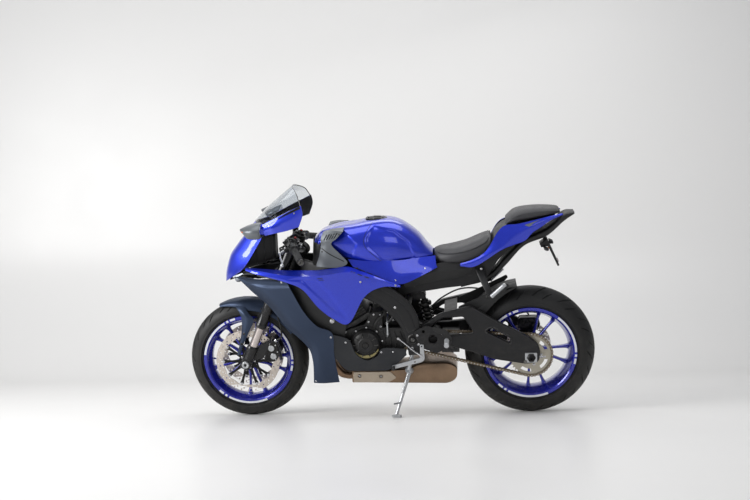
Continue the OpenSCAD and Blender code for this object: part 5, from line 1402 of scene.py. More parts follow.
# %% Rear axle fittings
block = plate([outline([(30, 344, 5), (-28, 344, 5), (-28, 296, 5), (30, 296, 5)]),
    circle(0, REAR_R, 13, 32)], 158.4, 167, 1.4)
nut = turned([(9, 16), (17, 16), (20, 13.5), (20, 3), (22, 2.6), (22, 0), (13, 0), (13, 8), (9, 10)],
    (0, 165.5, REAR_R), turns=6)
bore = turned([(0.01, 5), (9.5, 5), (9.5, 13), (13, 14.5), (13, 0), (0.01, 0)], (0, 165.5, REAR_R),
    turns=32)
adjuster = merged(turned([(0.01, 40), (4, 40), (4, 0), (0.01, 0)], (-30, 150, REAR_R), (-1, 0, 0), 16),
    hex_bolt((-46, 150, REAR_R), (-1, 0, 0), 7, 6))
marks = [plate([[(-20 + 5 * k, 338), (-19 + 5 * k, 338), (-19 + 5 * k, 342), (-20 + 5 * k, 342)]], 166.5,
    167.4, 0.1) for k in range(9)]
piece("axle_blocks", *block, "chassis", ALLOY, both=True, stands_for=["rear_axle"])
piece("axle_nuts", *merged(nut, bore), "chassis", CARRIER, both=True, edge=0.5)
piece("axle_adjusters", *adjuster, "chassis", STEEL, both=True)
piece("axle_marks", *merged(*marks), "chassis", CARRIER, both=True)
piece("rear_axle_bar", *turned([(0.01, 320), (12, 320), (12.4, 318), (12.4, 2), (12, 0), (0.01, 0)],
    (0, -160, REAR_R), turns=32), "chassis", STEEL)
print("axle fittings set")

# %% [markdown]
# A roller chain is the one piece where repetition is the whole look: pairs of plates, wide and narrow in
# turn, and a roller at each pin. We walk round both sprockets, set a pin at every pitch, and put a link
# between each two pins.

# %% Drive chain
GEARBOX, GEARBOX_R = Vector((650, 420)), PITCH_MM / (2 * math.sin(math.pi / 16))
apart = GEARBOX - Vector((0, REAR_R))
heading = math.atan2(apart.y, apart.x)
closing = math.asin((PITCH_R - GEARBOX_R) / apart.length)
run = [Vector((PITCH_R * math.cos(t), REAR_R + PITCH_R * math.sin(t)))
    for t in (heading + math.pi / 2 - closing + (math.pi + 2 * closing) * k / 60 for k in range(61))]
run += [GEARBOX + GEARBOX_R * Vector((math.cos(t), math.sin(t)))
    for t in (heading - math.pi / 2 + closing + (math.pi - 2 * closing) * k / 30 for k in range(31))]
run.append(run[0])
lengths = [0.0]
for a, b in zip(run, run[1:]):
    lengths.append(lengths[-1] + (b - a).length)
links = round(lengths[-1] / PITCH_MM / 2) * 2


def along_chain(s):
    k = next(i for i in range(1, len(run)) if lengths[i] >= s or i == len(run) - 1)
    return run[k - 1].lerp(run[k], (s - lengths[k - 1]) / max(lengths[k] - lengths[k - 1], 1e-6))


pins = [along_chain(lengths[-1] * k / links) for k in range(links)]
PLATE = [(-0.5, 6.6), (-0.5 - 0.3, 4.8), (-0.5 - 0.42, 0), (-0.5 - 0.3, -4.8), (-0.5, -6.6), (0, -4.4),
    (0.5, -6.6), (0.8, -4.8), (0.92, 0), (0.8, 4.8), (0.5, 6.6), (0, 4.4)]
parts, rollers = [], []
for k, a in enumerate(pins):
    b = pins[(k + 1) % links]
    u, mid = b - a, (a + b) / 2
    v = Vector((-u.y, u.x)).normalized()
    shape = [mid + u * s + v * h for s, h in PLATE]
    for s in (-1, 1):
        near, far = (8.3, 10.4) if k % 2 else (5.4, 7.6)
        parts.append(loft([[(p.x, CHAIN_Y + s * y, p.y) for p in shape] for y in (near, far)]))
    rollers.append(turned([(0.01, 11.2), (2.6, 11.2), (2.6, 5), (5, 5), (5, -5), (2.6, -5), (2.6, -11.2),
        (0.01, -11.2)], (a.x, CHAIN_Y, a.y), turns=10))
piece("chain_plates", *merged(*parts), "chassis", CHAIN, stands_for=["drive_chain"])
piece("chain_rollers", *merged(*rollers), "chassis", STEEL)
print("chain links", links)

# %% [markdown]
# Over the tyre sits a plastic hugger that keeps the road off the shock. Its crown follows the tyre and
# narrows to a tail, so the grid's rows are sections turned about the axle.

# %% Hugger
rows = []
for k in range(9):
    a, t = math.radians(34 + 5.75 * k), k / 8
    wide, drop = 1 - 0.12 * t ** 2, 44 * (1 - t ** 1.5) + 6
    rows.append([(r * math.cos(a), y * wide, REAR_R + r * math.sin(a)) for y,
        r in ((-106, 345 - drop), (-102, 343), (-62, 350), (-18, 350), (0, 352.5), (18, 350), (62, 350),
        (102, 343), (106, 345 - drop))])
hugger = grid(rows, 4, folds=(1, 2, 6, 7))
panel("hugger_crown", hugger, PLASTIC, wall=3, core=(150, 0, 420), lining=False, stands_for=["rear_hugger"])
cheek = plate([outline([(345, 548, 6), (345, 566, 6), (262, 602, 10), (104, 676, 6), (96, 662, 4),
    (150, 604, 10), (270, 548, 6)])], 97.5, 103.5, 2)
piece("hugger_cheeks", *cheek, "chassis", PLASTIC, both=True)
hugger_bolts = [cap_bolt((x, 103, z), (0, 1, 0), 5.5, 3.5) for x,
    z in ((312, 562), (205, 612))] + [turned([(7, 0), (7, 30), (0.01, 30), (0.01, 0)], (308, 98, 560),
    turns=20)]
piece("hugger_bolts", *merged(*hugger_bolts), "chassis", CARRIER, both=True)
print("hugger points", len(hugger[0]))

# %% [markdown]
# The single shock stands behind the engine: a coil round a damper with a collar at each end. A helix needs
# only one tube along a winding path.

# %% Rear shock
LOW, TOP = Vector((470, 0, 372)), Vector((520, 0, 606))
strut = (TOP - LOW).normalized()
side = strut.cross(Vector((0, 1, 0)))
coil = []
for k in range(6 * 24 + 1):
    a = 2 * math.pi * k / 24
    coil.append(LOW + strut * (64 + 120 * k / 144)
        + 25 * (math.cos(a) * side + math.sin(a) * Vector((0, 1, 0))))
damper = turned([(0.01, 4), (11, 4), (11, 46), (31, 47), (32, 49), (32, 58), (31, 60), (18, 61), (18, 186),
    (31, 187), (32, 189), (32, 200), (30, 203), (20, 204), (20, 214), (12, 216), (12, 236), (0.01, 236)],
    LOW, strut, 32)
eyes = [turned([(6.5, 17), (14, 17), (14.5, 16), (14.5, -16), (14, -17), (6.5, -17)], p, turns=28)
    for p in (LOW, TOP)]
piece("shock_body", *merged(damper, *eyes), "chassis", CARRIER, stands_for=["rear_shock"])
piece("shock_spring", *tube(coil, 5.5, 10, 1), "chassis", CARRIER)
print("shock spring points", len(coil))

# %% [markdown]
# The rear caliper grips the disc on the far side. Two halves with the disc between them, joined over its
# rim, read as a real caliper from behind.

# %% Rear caliper
CALIPER = [(46, 462, 12), (-50, 462, 12), (-60, 420, 10), (-40, 400, 8), (40, 400, 8), (56, 425, 10)]
halves = [plate([outline(CALIPER, 5)], y0, y1, 3) for y0, y1 in ((-122, -99), (-83, -62))]
bridge = plate([outline([(44, 461, 10), (-48, 461, 10), (-50, 438, 6), (46, 438, 6)], 5)], -100, -82, 1)
bracket = plate([outline([(26, 412, 8), (-26, 412, 8), (-24, 300, 20), (24, 300, 20)]),
    circle(0, REAR_R, 14, 28)], -126, -114, 1.5)
piece("rear_caliper_body", *merged(*halves, bridge, bracket), "chassis", CARRIER,
    stands_for=["rear_caliper"])
caps = [turned([(0.01, 4), (9, 4), (11, 2.5), (14, 2.5), (15, 0), (0.01, 0)], (x, -122, 432), (0, -1, 0),
    28) for x in (-20, 18)]
piece("rear_caliper_caps", *merged(*caps, cap_bolt((0, -126, 396), (0, -1, 0), 6, 5)), "chassis", ALLOY)
rear_line = [(-6, -118, 462), (30, -128, 500), (110, -140, 530), (220, -146, 590), (330, -140, 600),
    (430, -120, 560), (500, -110, 500)]
piece("rear_brake_line", *tube(rear_line, 4, 8, 6), "chassis", HOSE)
print("rear caliper dressed")

# %% [markdown]
# The rest of the main frame: the steering head, the tubes across and the bracket of the side stand. They
# are turned or plain bars with soft ends.

# %% Frame cross members and stand bracket
def bar(a, b, r, ends=1.5, turns=28):
    """A round bar between two points with rounded ends."""
    a, b = Vector(a), Vector(b)
    n = (b - a).length
    return turned([(0.01, 0), (r - ends, 0), (r, ends), (r, n - ends), (r - ends, n), (0.01, n)], a, b - a,
        turns)


def mirrored(part):
    return flipped(([Vector((p.x, -p.y, p.z)) for p in map(Vector, part[0])], part[1]))


STAND_PIVOT, STAND_FOOT = Vector((590, 150, 262)), Vector((657, 228, 64.94))
STAND_AXIS = (STAND_FOOT - STAND_PIVOT).cross(Vector((-0.98, 0.2, 0))).normalized()
crosses = [bar((568, -188, 430), (568, 188, 430), 10), bar((588, -170, 600), (588, 170, 600), 17),
    bar((572, -170, 381), (572, 170, 381), 9), bar((520, -20, 606), (520, 20, 606), 6)]
for x, z, r, y0, y1 in ((840, 668, 12, 128.4, 172), (950, 730, 9, 150, 248.4)):
    crosses += [bar((x, s * y0, z), (x, s * y1, z), r) for s in (-1, 1)]
for x, y, z, r, tall in ((735, 172, 690, 6, 69.6), (1045, 106, 705.4, 8, 70), (800, 157, 690, 8, 89)):
    crosses += [bar((x, s * y, z), (x, s * y, z + tall), r) for s in (-1, 1)]
shock_ears = [plate([outline([(600, 585, 8), (600, 620, 8), (505, 622, 14), (505, 590, 14)])], s - 4, s + 4,
    1) for s in (-22, 22)]
stand_lugs = [bar(STAND_PIVOT + 20 * STAND_AXIS, (566, 174, 378), 10),
    bar(STAND_PIVOT + 9.4 * STAND_AXIS, STAND_PIVOT + 28 * STAND_AXIS, 17),
    bar(STAND_PIVOT - 14 * STAND_AXIS, STAND_PIVOT + 20 * STAND_AXIS, 8),
    bar(STAND_PIVOT - 14 * STAND_AXIS, STAND_PIVOT - 9.4 * STAND_AXIS, 13)]
piece("frame_cross_members", *merged(*crosses, *shock_ears), "chassis", CASTING, stands_for=["main_frame"])
piece("stand_bracket", *merged(*stand_lugs), "chassis", ALLOY)
head = turned([(26.2, 0), (34, 0), (36, 2), (36, 92), (34, 94), (26.2, 94)], (-29, 0, 513), (0, 0, 1), 40)
piece("steering_head", *head, "chassis", CASTING, FORK)
nose_block = loft([[(x, y, z) for y, z in ((-21, 801), (21, 801), (21, 833), (-21, 833))]
    for x in (1150, 1194.6)])
piece("nose_stay_block", *nose_block, "chassis", CASTING, edge=2)
print("stand axis", tuple(round(v, 3) for v in STAND_AXIS))

# %% [markdown]
# ## Fork, brakes and controls
# The fork leans back, so its pieces are drawn in a frame whose Z runs up the legs from the front axle. Each
# leg is an anodised outer tube, a dust seal, a bright sliding tube and a cast foot that holds the axle and
# the caliper.

# %% Fork legs
LEG = 105
up_leg = (0, 0, 1)


def leg_turned(profile, y=LEG, turns=40):
    return turned(profile, (0, y, 0), up_leg, turns)


outer = leg_turned([(21.8, 207), (27.4, 207), (28.4, 208.4), (28.4, 221), (27.4, 222.6), (26.8, 224),
    (26.8, 300), (27.0, 302), (27.0, 312), (26.8, 314), (26.8, 674), (25, 678), (0.01, 678)])
seal = leg_turned([(21.6, 199), (24.4, 199), (26.4, 201.4), (26.4, 207), (21.8, 207)])
slider = leg_turned([(21.5, 92), (21.5, 210), (20.4, 210), (20.4, 92)])
foot = leg_turned([(0.01, -26), (18, -26), (25, -22.5), (28, -15), (28, 84), (26.4, 93), (23.4, 97.5),
    (21.6, 98)])
lug = plate([outline([(-15, 8, 4), (-71.6, 56, 6), (-71.6, 142, 6), (-60, 144, 6), (-15, 92, 8)])], 83,
    91.6, 1.4)
clamp = loft([[(x, y, z) for x, z in outline([(-24, 25, 5), (22, 25, 5), (22, -25, 5), (-24, -25, 5)])]
    for y in (84, 133)])
piece("fork_outer_tubes", *outer, "fork", FORK_BLACK, FORK, both=True, stands_for=["fork_legs"])
piece("fork_dust_seals", *seal, "fork", HOSE, FORK, both=True)
piece("fork_sliders", *slider, "fork", STANCHION, FORK, both=True)
piece("fork_feet", *merged(foot, lug), "fork", FORK_BLACK, FORK, both=True, edge=0.6)
piece("fork_axle_clamps", *clamp, "fork", FORK_BLACK, FORK, both=True, edge=2)
pinch = [hex_bolt((-12, 108 + 14 * k, -25), (0, 0, -1), 6, 4)
    for k in (-1, 1)] + [hex_bolt((-71, 87, z), (-1, 0, 0), 7, 4) for z in (64, 134)]
piece("fork_pinch_bolts", *merged(*pinch), "fork", STEEL, FORK, both=True)
cap = leg_turned([(0.01, 687), (9, 687), (10.5, 685.5), (10.5, 682), (16, 681.5), (17.5, 680), (17.5, 676),
    (0.01, 676)], turns=6)
knob = leg_turned([(0.01, 692), (5, 692), (6.4, 690.6), (6.4, 684), (0.01, 684)], turns=24)
piece("fork_caps", *cap, "fork", CARRIER, FORK, both=True, edge=0.6)
piece("fork_adjusters", *knob, "fork", RED, FORK, both=True)
print("fork leg points", len(outer[0]))

# %% [markdown]
# Two forged yokes hold the legs. They are flat plates with round ends, so a filled outline with holes and a
# chamfer is enough. The stem and its big nut join them.

# %% Triple clamps
flat = Matrix(((1, 0, 0, 0), (0, 0, 1, 0), (0, 1, 0, 0), (0, 0, 0, 1)))
yoke_line = outline([(-34, -143, 30), (-62, -96, 30), (-66, -22, 20), (-66, 22, 20), (-62, 96, 30),
    (-34, 143, 30), (34, 143, 34), (37, 80, 20), (8, 36, 24), (8, -36, 24), (37, -80, 20), (34, -143, 34)],
    8)
for name, low, high in (("lower_yoke", 478, 508), ("upper_yoke", 612, 634)):
    holes = [circle(0, s * LEG, 27.2, 36) for s in (-1, 1)] + [circle(-29, s * 58, 13, 24) for s in (-1, 1)]
    piece(name, *moved(plate([yoke_line, *holes], low, high, 2.5), flat), "fork", CASTING, FORK,
        stands_for=["triple_clamps"] if high == 508 else ())
stem = turned([(8.6, 478), (25.4, 478), (25.4, 612), (25, 632), (8.6, 632)], (-29, 0, 0), up_leg, 40)
stem_nut = turned([(10, 647), (17, 647), (20, 645), (20, 637), (23, 636), (23, 633), (10, 633)],
    (-29, 0, 0), up_leg, 6)
piece("steering_stem", *merged(stem, stem_nut), "fork", ALLOY, FORK, edge=0.5)
key = turned([(0.01, 664), (15, 664), (17, 662), (17, 634), (0.01, 634)], (-2, 0, 0), up_leg, 32)
piece("ignition_switch", *key, "fork", PLASTIC, FORK, edge=0.8)
print("yokes set")

# %% [markdown]
# Low clip-on bars carry ribbed grips, switch boxes and ball-ended levers. Most of it is mirrored from the
# left; the brake's fluid cup and the loom stand alone.

# %% Clip-on bars and levers
BAR_IN, BAR_OUT = Vector((1152, 105, 906)), Vector((1069, 342, 852))
bar_way = (BAR_OUT - BAR_IN).normalized()


def on_bar(d, off=(0, 0, 0)):
    return BAR_IN + bar_way * d + Vector(off)


def bar_turned(profile, turns=28):
    return turned([(r, d) for r, d in profile], BAR_IN, bar_way, turns)


bar_clamp = turned([(27.1, 640), (34, 640), (36, 642), (36, 664), (34, 666), (27.1, 666)], (0, LEG, 0),
    up_leg, 40)
piece("bar_clamps", *bar_clamp, "fork", CASTING, FORK, both=True)
length = (BAR_OUT - BAR_IN).length
piece("bar_tubes", *bar_turned([(0.01, 24), (11, 24), (11, length - 2), (0.01, length - 2)]), "fork",
    CASTING, both=True)
ribs = [(r, 112 + 4.6 * k + d) for k in range(28) for r,
    d in ((15.4, 0), (16.8, 1), (16.8, 3.2), (15.4, 4.2))]
piece("grips", *bar_turned([(11, 110), (19, 110), (20, 111), (20, 113.5), (17, 115), *ribs[4:],
    (16, length - 14), (11, length - 14)], 32), "fork", GRIP, both=True, sharp=60)
piece("bar_weights", *bar_turned([(11, length - 13), (14.5, length - 13), (15.2, length - 11),
    (15, length + 2), (13, length + 4), (0.01, length + 4)]), "fork", CARRIER, both=True)
box = [bar_turned([(11, 60), (21, 60), (24, 63), (24.5, 82), (24.5, 86), (24, 104), (21, 107), (11, 107)],
    28)]
keys = [moved(plate([outline([(-6, -4, 2), (6, -4, 2), (6, 4, 2), (-6, 4, 2)])], 0, 5, 1),
    facing(on_bar(d), (-0.6, 0.1, 0.8)) @ Matrix.Translation((0, 22, 0))) for d in (72, 86, 98)]
piece("switch_boxes", *merged(*box, *keys), "fork", PLASTIC, both=True, edge=0.8)
perch = [bar(on_bar(84), on_bar(84, (44, 12, -6)), 11),
    bar_turned([(11, 78), (17, 78), (18, 80), (18, 92), (17, 94), (11, 94)])]
piece("lever_perches", *merged(*perch), "fork", CARRIER, both=True, edge=0.6)
reach = line([on_bar(84, (40, 8, -5)), on_bar(96, (58, 10, -9)), on_bar(112, (70, 10, -12)),
    on_bar(170, (78, 4, -16)), on_bar(205, (79, 2, -17)), on_bar(236, (86, 2, -18))], 5)
rings = []
for i, p in enumerate(reach):
    d = (reach[min(i + 1, len(reach) - 1)] - reach[max(i - 1, 0)]).normalized()
    v = d.cross(Vector((0, 0, 1))).normalized()
    u, t = v.cross(d), i / (len(reach) - 1)
    rings.append([p + u * (7.2 - 2.6 * t) * math.cos(a) + v * (5.2 - 1.2 * t) * math.sin(a)
        for a in (2 * math.pi * k / 14 for k in range(14))])
ball = turned([(9 * math.sin(a) + 0.01, -9 * math.cos(a)) for a in (math.pi * k / 12 for k in range(13))],
    on_bar(236, (86, 2, -18)), bar_way, 24)
piece("levers", *merged(loft(rings), ball), "fork", ALLOY, both=True, stands_for=["handlebars"])
piece("lever_pivots", *hex_bolt(on_bar(84, (40, 8, 6)), (0, 0, 1), 6, 5), "fork", STEEL, both=True)
cup_at = on_bar(84, (42, 0, 44))
cup_at.y = -cup_at.y
cup = turned([(0.01, -34), (15, -34), (16, -32), (16, 0), (18, 1), (18, 7), (16.5, 9), (0.01, 9)], cup_at,
    (0, 0, 1), 32)
cup_foot = bar(cup_at - Vector((0, 0, 30)), cup_at - Vector((2, 6, 48)), 8)
piece("brake_fluid_cup", *merged(cup, cup_foot), "fork", GLOSS_BLACK, edge=0.6)
cables = [tube([on_bar(80, (44, 6, -8)), on_bar(50, (62, 0, -10)), (1180, 84, 884), (1160, 44, 862),
    (1146, 18, 848)], 4, 8, 6), tube([on_bar(62, (10, 0, -22)), (1150, 130, 872), (1140, 90, 860),
    (1124, 44, 852)], 4.5, 8, 6)]
piece("left_cables", *merged(*cables), "fork", HOSE)
piece("right_cables", *merged(*[mirrored(c) for c in cables]), "fork", HOSE)
loom = []
for k in range(6):
    z, r = 846 + 13 * k, 6 - k % 3
    head = 1378.5 - 0.4452 * (z - 288)
    loom.append(tube([(head + 12, 88 + 4 * (k % 2), z - 6), (head + 52 - 6 * (k % 2), 76, z - 4 * (k % 3)),
        (head + 84 - 8 * (k % 3), 24, z + 5 * (k % 2)), (head + 86 - 6 * (k % 2), -24, z - 3 * (k % 3)),
        (head + 50, -78, z + 4), (head + 10, -90, z - 6)], r, 10, 5))
loom += [tube([(1102, s * 14, 882), (1085, s * 20, 864), (1082, s * 20, 846), (1092, s * 14, 832)], 8, 12,
    5) for s in (-1, 1)]
piece("steering_loom", *merged(*loom), "fork", HOSE)
print("grip length", round(length - 126), "loom runs", len(loom))

# %% [markdown]
# The front brakes bolt to the feet of the fork from behind. Each caliper has an outer and an inner half
# over the disc, two bright piston caps, pins for the pads, and a hose that climbs to the yoke.

# %% Front calipers, axle and hoses
CALIPER = [(-72, 48, 6), (-72, 146, 6), (-96, 160, 12), (-140, 108, 14), (-132, 62, 12), (-100, 46, 8)]
halves = [plate([outline(CALIPER, 5)], y0, y1, 4) for y0, y1 in ((74.5, 96), (46, 61.5))]
bridge = plate([[Vector((r * math.cos(a), r * math.sin(a))) for r,
    a in [(165.5, math.radians(118 + 4 * k)) for k in range(10)] + [(176, math.radians(154 - 4 * k))
    for k in range(10)]]], 60, 76, 1)
piece("caliper_bodies", *merged(*halves, bridge), "fork", CARRIER, FORK, both=True,
    stands_for=["front_calipers"])
caps = []
for x, z in ((-87, 117), (-112, 83)):
    caps.append(turned([(0.01, 2), (6, 2), (6.5, 4.4), (13.5, 4.4), (15.5, 2.6), (16, 0), (0.01, 0)],
        (x, 96, z), turns=32))
pins = [turned([(0.01, 3), (3.5, 3), (3.5, 0), (0.01, 0)], (x, 96, z), turns=14) for x,
    z in ((-122, 112), (-100, 140), (-128, 72))]
piece("caliper_caps", *merged(*caps, *pins), "fork", ALLOY, FORK, both=True)
banjo = merged(hex_bolt((-92, 90, 158), (-0.4, 0, 0.9), 7, 6),
    turned([(4, 4), (10, 4), (10, -4), (4, -4)], (-94, 90, 163), (-0.4, 0, 0.9), 20))
piece("caliper_banjos", *banjo, "fork", STEEL, FORK, both=True)
hose = [tube([(-95, 90, 164), (-112, 96, 190), (-92, 104, 240), (-52, 100, 300), (-42, 80, 380),
    (-40, 52, 450), (-38, 30, 476)], 4.2, 10, 6), tube([(-70, 92, 150), (-40, 74, 190), (-30, 40, 300),
    (-30, 0, 330)], 3, 8, 6)]
piece("front_brake_hoses", *merged(*hose), "fork", HOSE, FORK, both=True)
axle_end = turned([(8, 142), (10, 143), (16, 143), (18, 141), (18, 134), (13, 133), (12.4, 120),
    (12.4, -128), (8, -128), (8, 142)], (0, 0, 0), turns=40)
far_end = turned([(8, -131), (12, -131), (12.4, -129), (12.4, -120), (8, -120)], (0, 0, 0), turns=40)
piece("front_axle_tube", *merged(axle_end, far_end), "fork", ALLOY, FRONT, stands_for=["front_axle"])
print("front brakes set")

# %% [markdown]
# The front mudguard is slate like the cowl. It starts in a beak, runs over the tyre, and sends a blade down
# ahead of each fork leg. The arch is a grid of sections turned about the axle; the blade is a panel of its
# own with two screws.

# %% Front mudguard
rows = []
for k in range(12):
    a, t = math.radians(64 + 7.7 * k), min(1, k / 4)
    grow = 0.42 + 0.58 * math.sin(t * math.pi / 2)
    crown = [(y * grow, 315 - (315 - r) * (0.25 + 0.75 * t)) for y,
        r in ((0, 317), (12, 315), (31, 312), (54, 301), (69, 282), (73, 262))]
    rows.append([(r * math.cos(a), s * y, r * math.sin(a)) for s, half in ((-1, crown[:0:-1]), (1, crown))
        for y, r in half])
arch = grid(rows, 4, folds=(3, 7))
piece("mudguard_arch", *arch, "fork", SLATE, FRONT, wall=3, edge=0.8, core=(0, 0, 200),
    stands_for=["front_mudguard"])
BLADE = [[(1456, 48, 590), (1428, 52, 601), (1394, 54, 600)],
    [(1446, 71, 577), (1421, 73, 578), (1399, 72, 577)],
    [(1428, 84, 550), (1405, 95, 550), (1380, 92, 549)],
    [(1420, 88, 519), (1389, 102, 520), (1357, 98, 518)],
    [(1424, 90, 457), (1406, 103, 458), (1385, 100, 457)],
    [(1440, 92, 385), (1431, 101, 386), (1420, 99, 385)],
    [(1453, 92, 339), (1444, 97, 340), (1434, 97, 339)]]
blade = grid(BLADE, 6)
panel("mudguard_blades", blade, SLATE, "fork", wall=3.5, core=(1400, 0, 450), both=True)
blade_skin = Skin(blade)
blade_screws = merged(*[blade_skin.screw(x, z, 6.5, 1, 2.5) for x, z in ((1409, 450), (1424, 398))])
piece("mudguard_screws", *blade_screws, "fork", CARRIER, both=True)
stays = [loft([[(x, y, z) for x, z in ((-16, 210), (36, 210), (36, 285), (-16, 285))] for y in (66, 71)]),
    loft([[(x, y, z) for x, z in ((28.4, 214), (46, 214), (46, 228), (28.4, 228))] for y in (70, 100)])]
piece("mudguard_stays", *merged(*stays), "fork", PLASTIC, FORK, both=True, edge=1.5)
print("mudguard points", len(arch[0]))

# %% [markdown]
# ## Fittings
# The mirrors are wedge-shaped shells on short arms with the glass set in behind a lip. The shell reuses the
# body loft of the tank, because both are closed shapes drawn by half sections.

# %% Mirrors
MIRROR = [(1356, 1012, 4, 1011, 7, 1008, 5, 1004, 1003), (1340, 1019, 16, 1016, 34, 1004, 26, 992, 990),
    (1318, 1027, 26, 1024, 54, 1004, 42, 974, 971), (1290, 1034, 32, 1031, 64, 1006, 48, 969, 966),
    (1264, 1037, 32, 1034, 64, 1006, 48, 970, 967), (1256, 1035, 30, 1032, 61, 1005, 45, 972, 969)]
shell = body_loft(MIRROR, 5, 5)
shell = [Vector(p) + Vector((0, 292, 0)) for p in shell[0]], shell[1]
piece("mirror_shells", *shell, "chassis", GUNMETAL, both=True, sharp=40, stands_for=["mirrors"])
glass_line = ring_line([(1255, 292 + y, z) for y, z in ((0, 1031), (27, 1028), (55, 1005), (41, 976),
    (0, 973), (-41, 976), (-55, 1005), (-27, 1028))], 5)
glass = loft([[p + Vector((-1.2 - d, 0, 0)) for p in [Vector(q) for q in glass_line]] for d in (-4, 0)])
piece("mirror_glass", *glass, "chassis", MIRROR_GLASS, both=True, edge=0.6)
arm = tube([(1298, 150, 966), (1298, 180, 973), (1299, 225, 988), (1300, 268, 1000)], 8, 14, 5)
piece("mirror_arms", *merged(arm, bar((1298, 134.2, 968), (1298, 166, 968), 10)), "chassis", PLASTIC,
    both=True)
signal = loft([[Vector((1345 - x, 292 + 44 * s + 12 * x / 20, 1000 + 2 * s + h)) for x,
    h in ((0, -3), (0, 3), (22, 5), (22, -3))] for s in (0.1, 0.75)])
piece("mirror_signals", *signal, "chassis", AMBER, both=True, edge=1)
print("mirror points", len(shell[0]))

# %% [markdown]
# Behind the screen a flat display stands on the stay of the nose. It faces the rider, so the photo shows
# only its edge, but the view from above needs it.

# %% Cockpit
tilt = Matrix.Translation((1225, 0, 985)) @ Matrix.Rotation(math.radians(-50), 4, "Y")
case = loft([[(x, y, z) for x, y in [(p.x, p.y) for p in outline([(-38, -74, 10), (38, -74, 10),
    (38, 74, 10), (-38, 74, 10)])]] for z in (-10.5, 9)])
piece("display_case", *moved(case, tilt), "chassis", PLASTIC, edge=2)
pane = loft([[(x, y, z) for x, y in [(p.x, p.y) for p in outline([(-33, -68, 6), (33, -68, 6), (33, 68, 6),
    (-33, 68, 6)])]] for z in (8.6, 10.6)])
piece("display_pane", *moved(pane, tilt), "chassis", GLOSS_BLACK, edge=0.6)
display_buttons = [loft([[(x, y, z) for x, y in [(p.x, p.y)
    for p in outline([(c - 3, -60, 2), (c + 3, -60, 2), (c + 3, -54, 2), (c - 3, -54, 2)])]]
    for z in (10.2, 11.2)]) for c in (-20, -8, 4)]
piece("display_keys", *moved(merged(*display_buttons), tilt), "chassis", GRIP, edge=0.4)
shroud = grid([[(1288, -120, 978), (1300, -60, 990), (1304, 0, 994), (1300, 60, 990), (1288, 120, 978)],
    [(1262, -126, 962), (1272, -60, 968), (1276, 0, 970), (1272, 60, 968), (1262, 126, 962)],
    [(1262, -118, 930), (1266, -60, 930), (1268, 0, 930), (1266, 60, 930), (1262, 118, 930)]], 5)
panel("cockpit_shroud", shroud, PLASTIC, wall=2.5, core=(1400, 0, 940), lining=False)
print("cockpit set")

# %% [markdown]
# Rearsets hold the rider's feet: a drilled plate with a heel guard, a knurled peg, and a pedal on each
# side, the gear pedal left with its rod and the brake pedal right.

# %% Footrests and pedals
hanger = plate([outline([(560, 470, 12), (500, 500, 14), (400, 462, 14), (378, 420, 14), (390, 392, 10),
    (452, 360, 14), (535, 390, 12)], 6), circle(470, 430, 22, 40), circle(425, 452, 6, 20),
    circle(515, 470, 7, 20)], 188.4, 200, 2)
piece("rearset_plates", *hanger, "chassis", CASTING, both=True, stands_for=["footrests"])
heel = plate([outline([(470, 496, 10), (400, 476, 14), (376, 432, 14), (392, 400, 8), (404, 424, 10),
    (424, 452, 14), (470, 474, 10)], 5)], 200.5, 203.5, 0.8)
piece("heel_guards", *heel, "chassis", PLASTIC, both=True)
rings = [(11 - 1.4 * (k % 2), 206 + 3.2 * k + d) for k in range(26) for d in (0, 2.6)]
peg = turned([(0.01, 200), (12, 200), (12, 205), *rings, (12.5, 290), (11, 293), (0.01, 293)],
    (404, 0, 424), turns=24)
piece("rider_pegs", *peg, "chassis", ALLOY, both=True, sharp=50)
pedal = plate([outline([(534, 408, 5), (516, 408, 5), (512, 334, 8), (526, 320, 8), (662, 288, 6),
    (672, 304, 6), (534, 342, 8)], 5), circle(526, 398, 4, 16), circle(560, 322, 4, 16)], 198.4, 207.6, 1.6)
piece("pedals", *pedal, "chassis", ALLOY, both=True)
tips = turned([(0.01, 203), (7, 203), (8, 205), *[(8 - 0.8 * (k % 2), 207 + 2.6 * k) for k in range(12)],
    (8, 238), (6.5, 240), (0.01, 240)], (664, 0, 296), turns=20)
piece("pedal_tips", *tips, "chassis", GRIP, both=True)
rod_ends = [turned([(0.01, 5), (6, 5), (7, 3), (7, -3), (6, -5), (0.01, -5)], p, turns=20)
    for p in ((530, 210, 352), (640, 170, 430))]
piece("shift_rod", *merged(tube([(530, 210, 352), (560, 204, 372), (610, 184, 410), (640, 170, 430)], 3.6,
    10, 4), *rod_ends), "chassis", STEEL)
plate_bolts = [cap_bolt((x, 200, z), (0, 1, 0), 6, 5) for x, z in ((545, 452), (540, 408), (404, 424))]
piece("rearset_bolts", *merged(*plate_bolts), "chassis", STEEL, both=True)
pillion = beam([(246, 83.9, 788, 44), (243, 83.9, 770, 44), (237, 92, 748, 42), (224, 122, 712, 36),
    (205, 158, 668, 30), (186, 171, 630, 24)], 10, 6)
piece("pillion_hangers", *pillion, "chassis", CASTING, both=True, sharp=50)
rung = turned([(0.01, 0), (9, 0), (11, 3), *[(11 - 1.2 * (k % 2), 8 + 3.4 * k) for k in range(22)],
    (11, 88), (9, 91), (0.01, 91)], (186, 180, 630), (-68, 4, 62), 20)
piece("pillion_pegs", *rung, "chassis", ALLOY, both=True, sharp=50)
piece("pillion_hanger_bolts", *merged(*[cap_bolt((x, y, z), (0, 1, 0), 6, 4) for x, y,
    z in ((248, 89, 780), (230, 104, 752))]), "chassis", STEEL, both=True)
print("footrests set")

# %% [markdown]
# The side stand is a forged leg with a flat foot, an eye round its pivot and a coil spring. It rides on its
# own body because it folds.

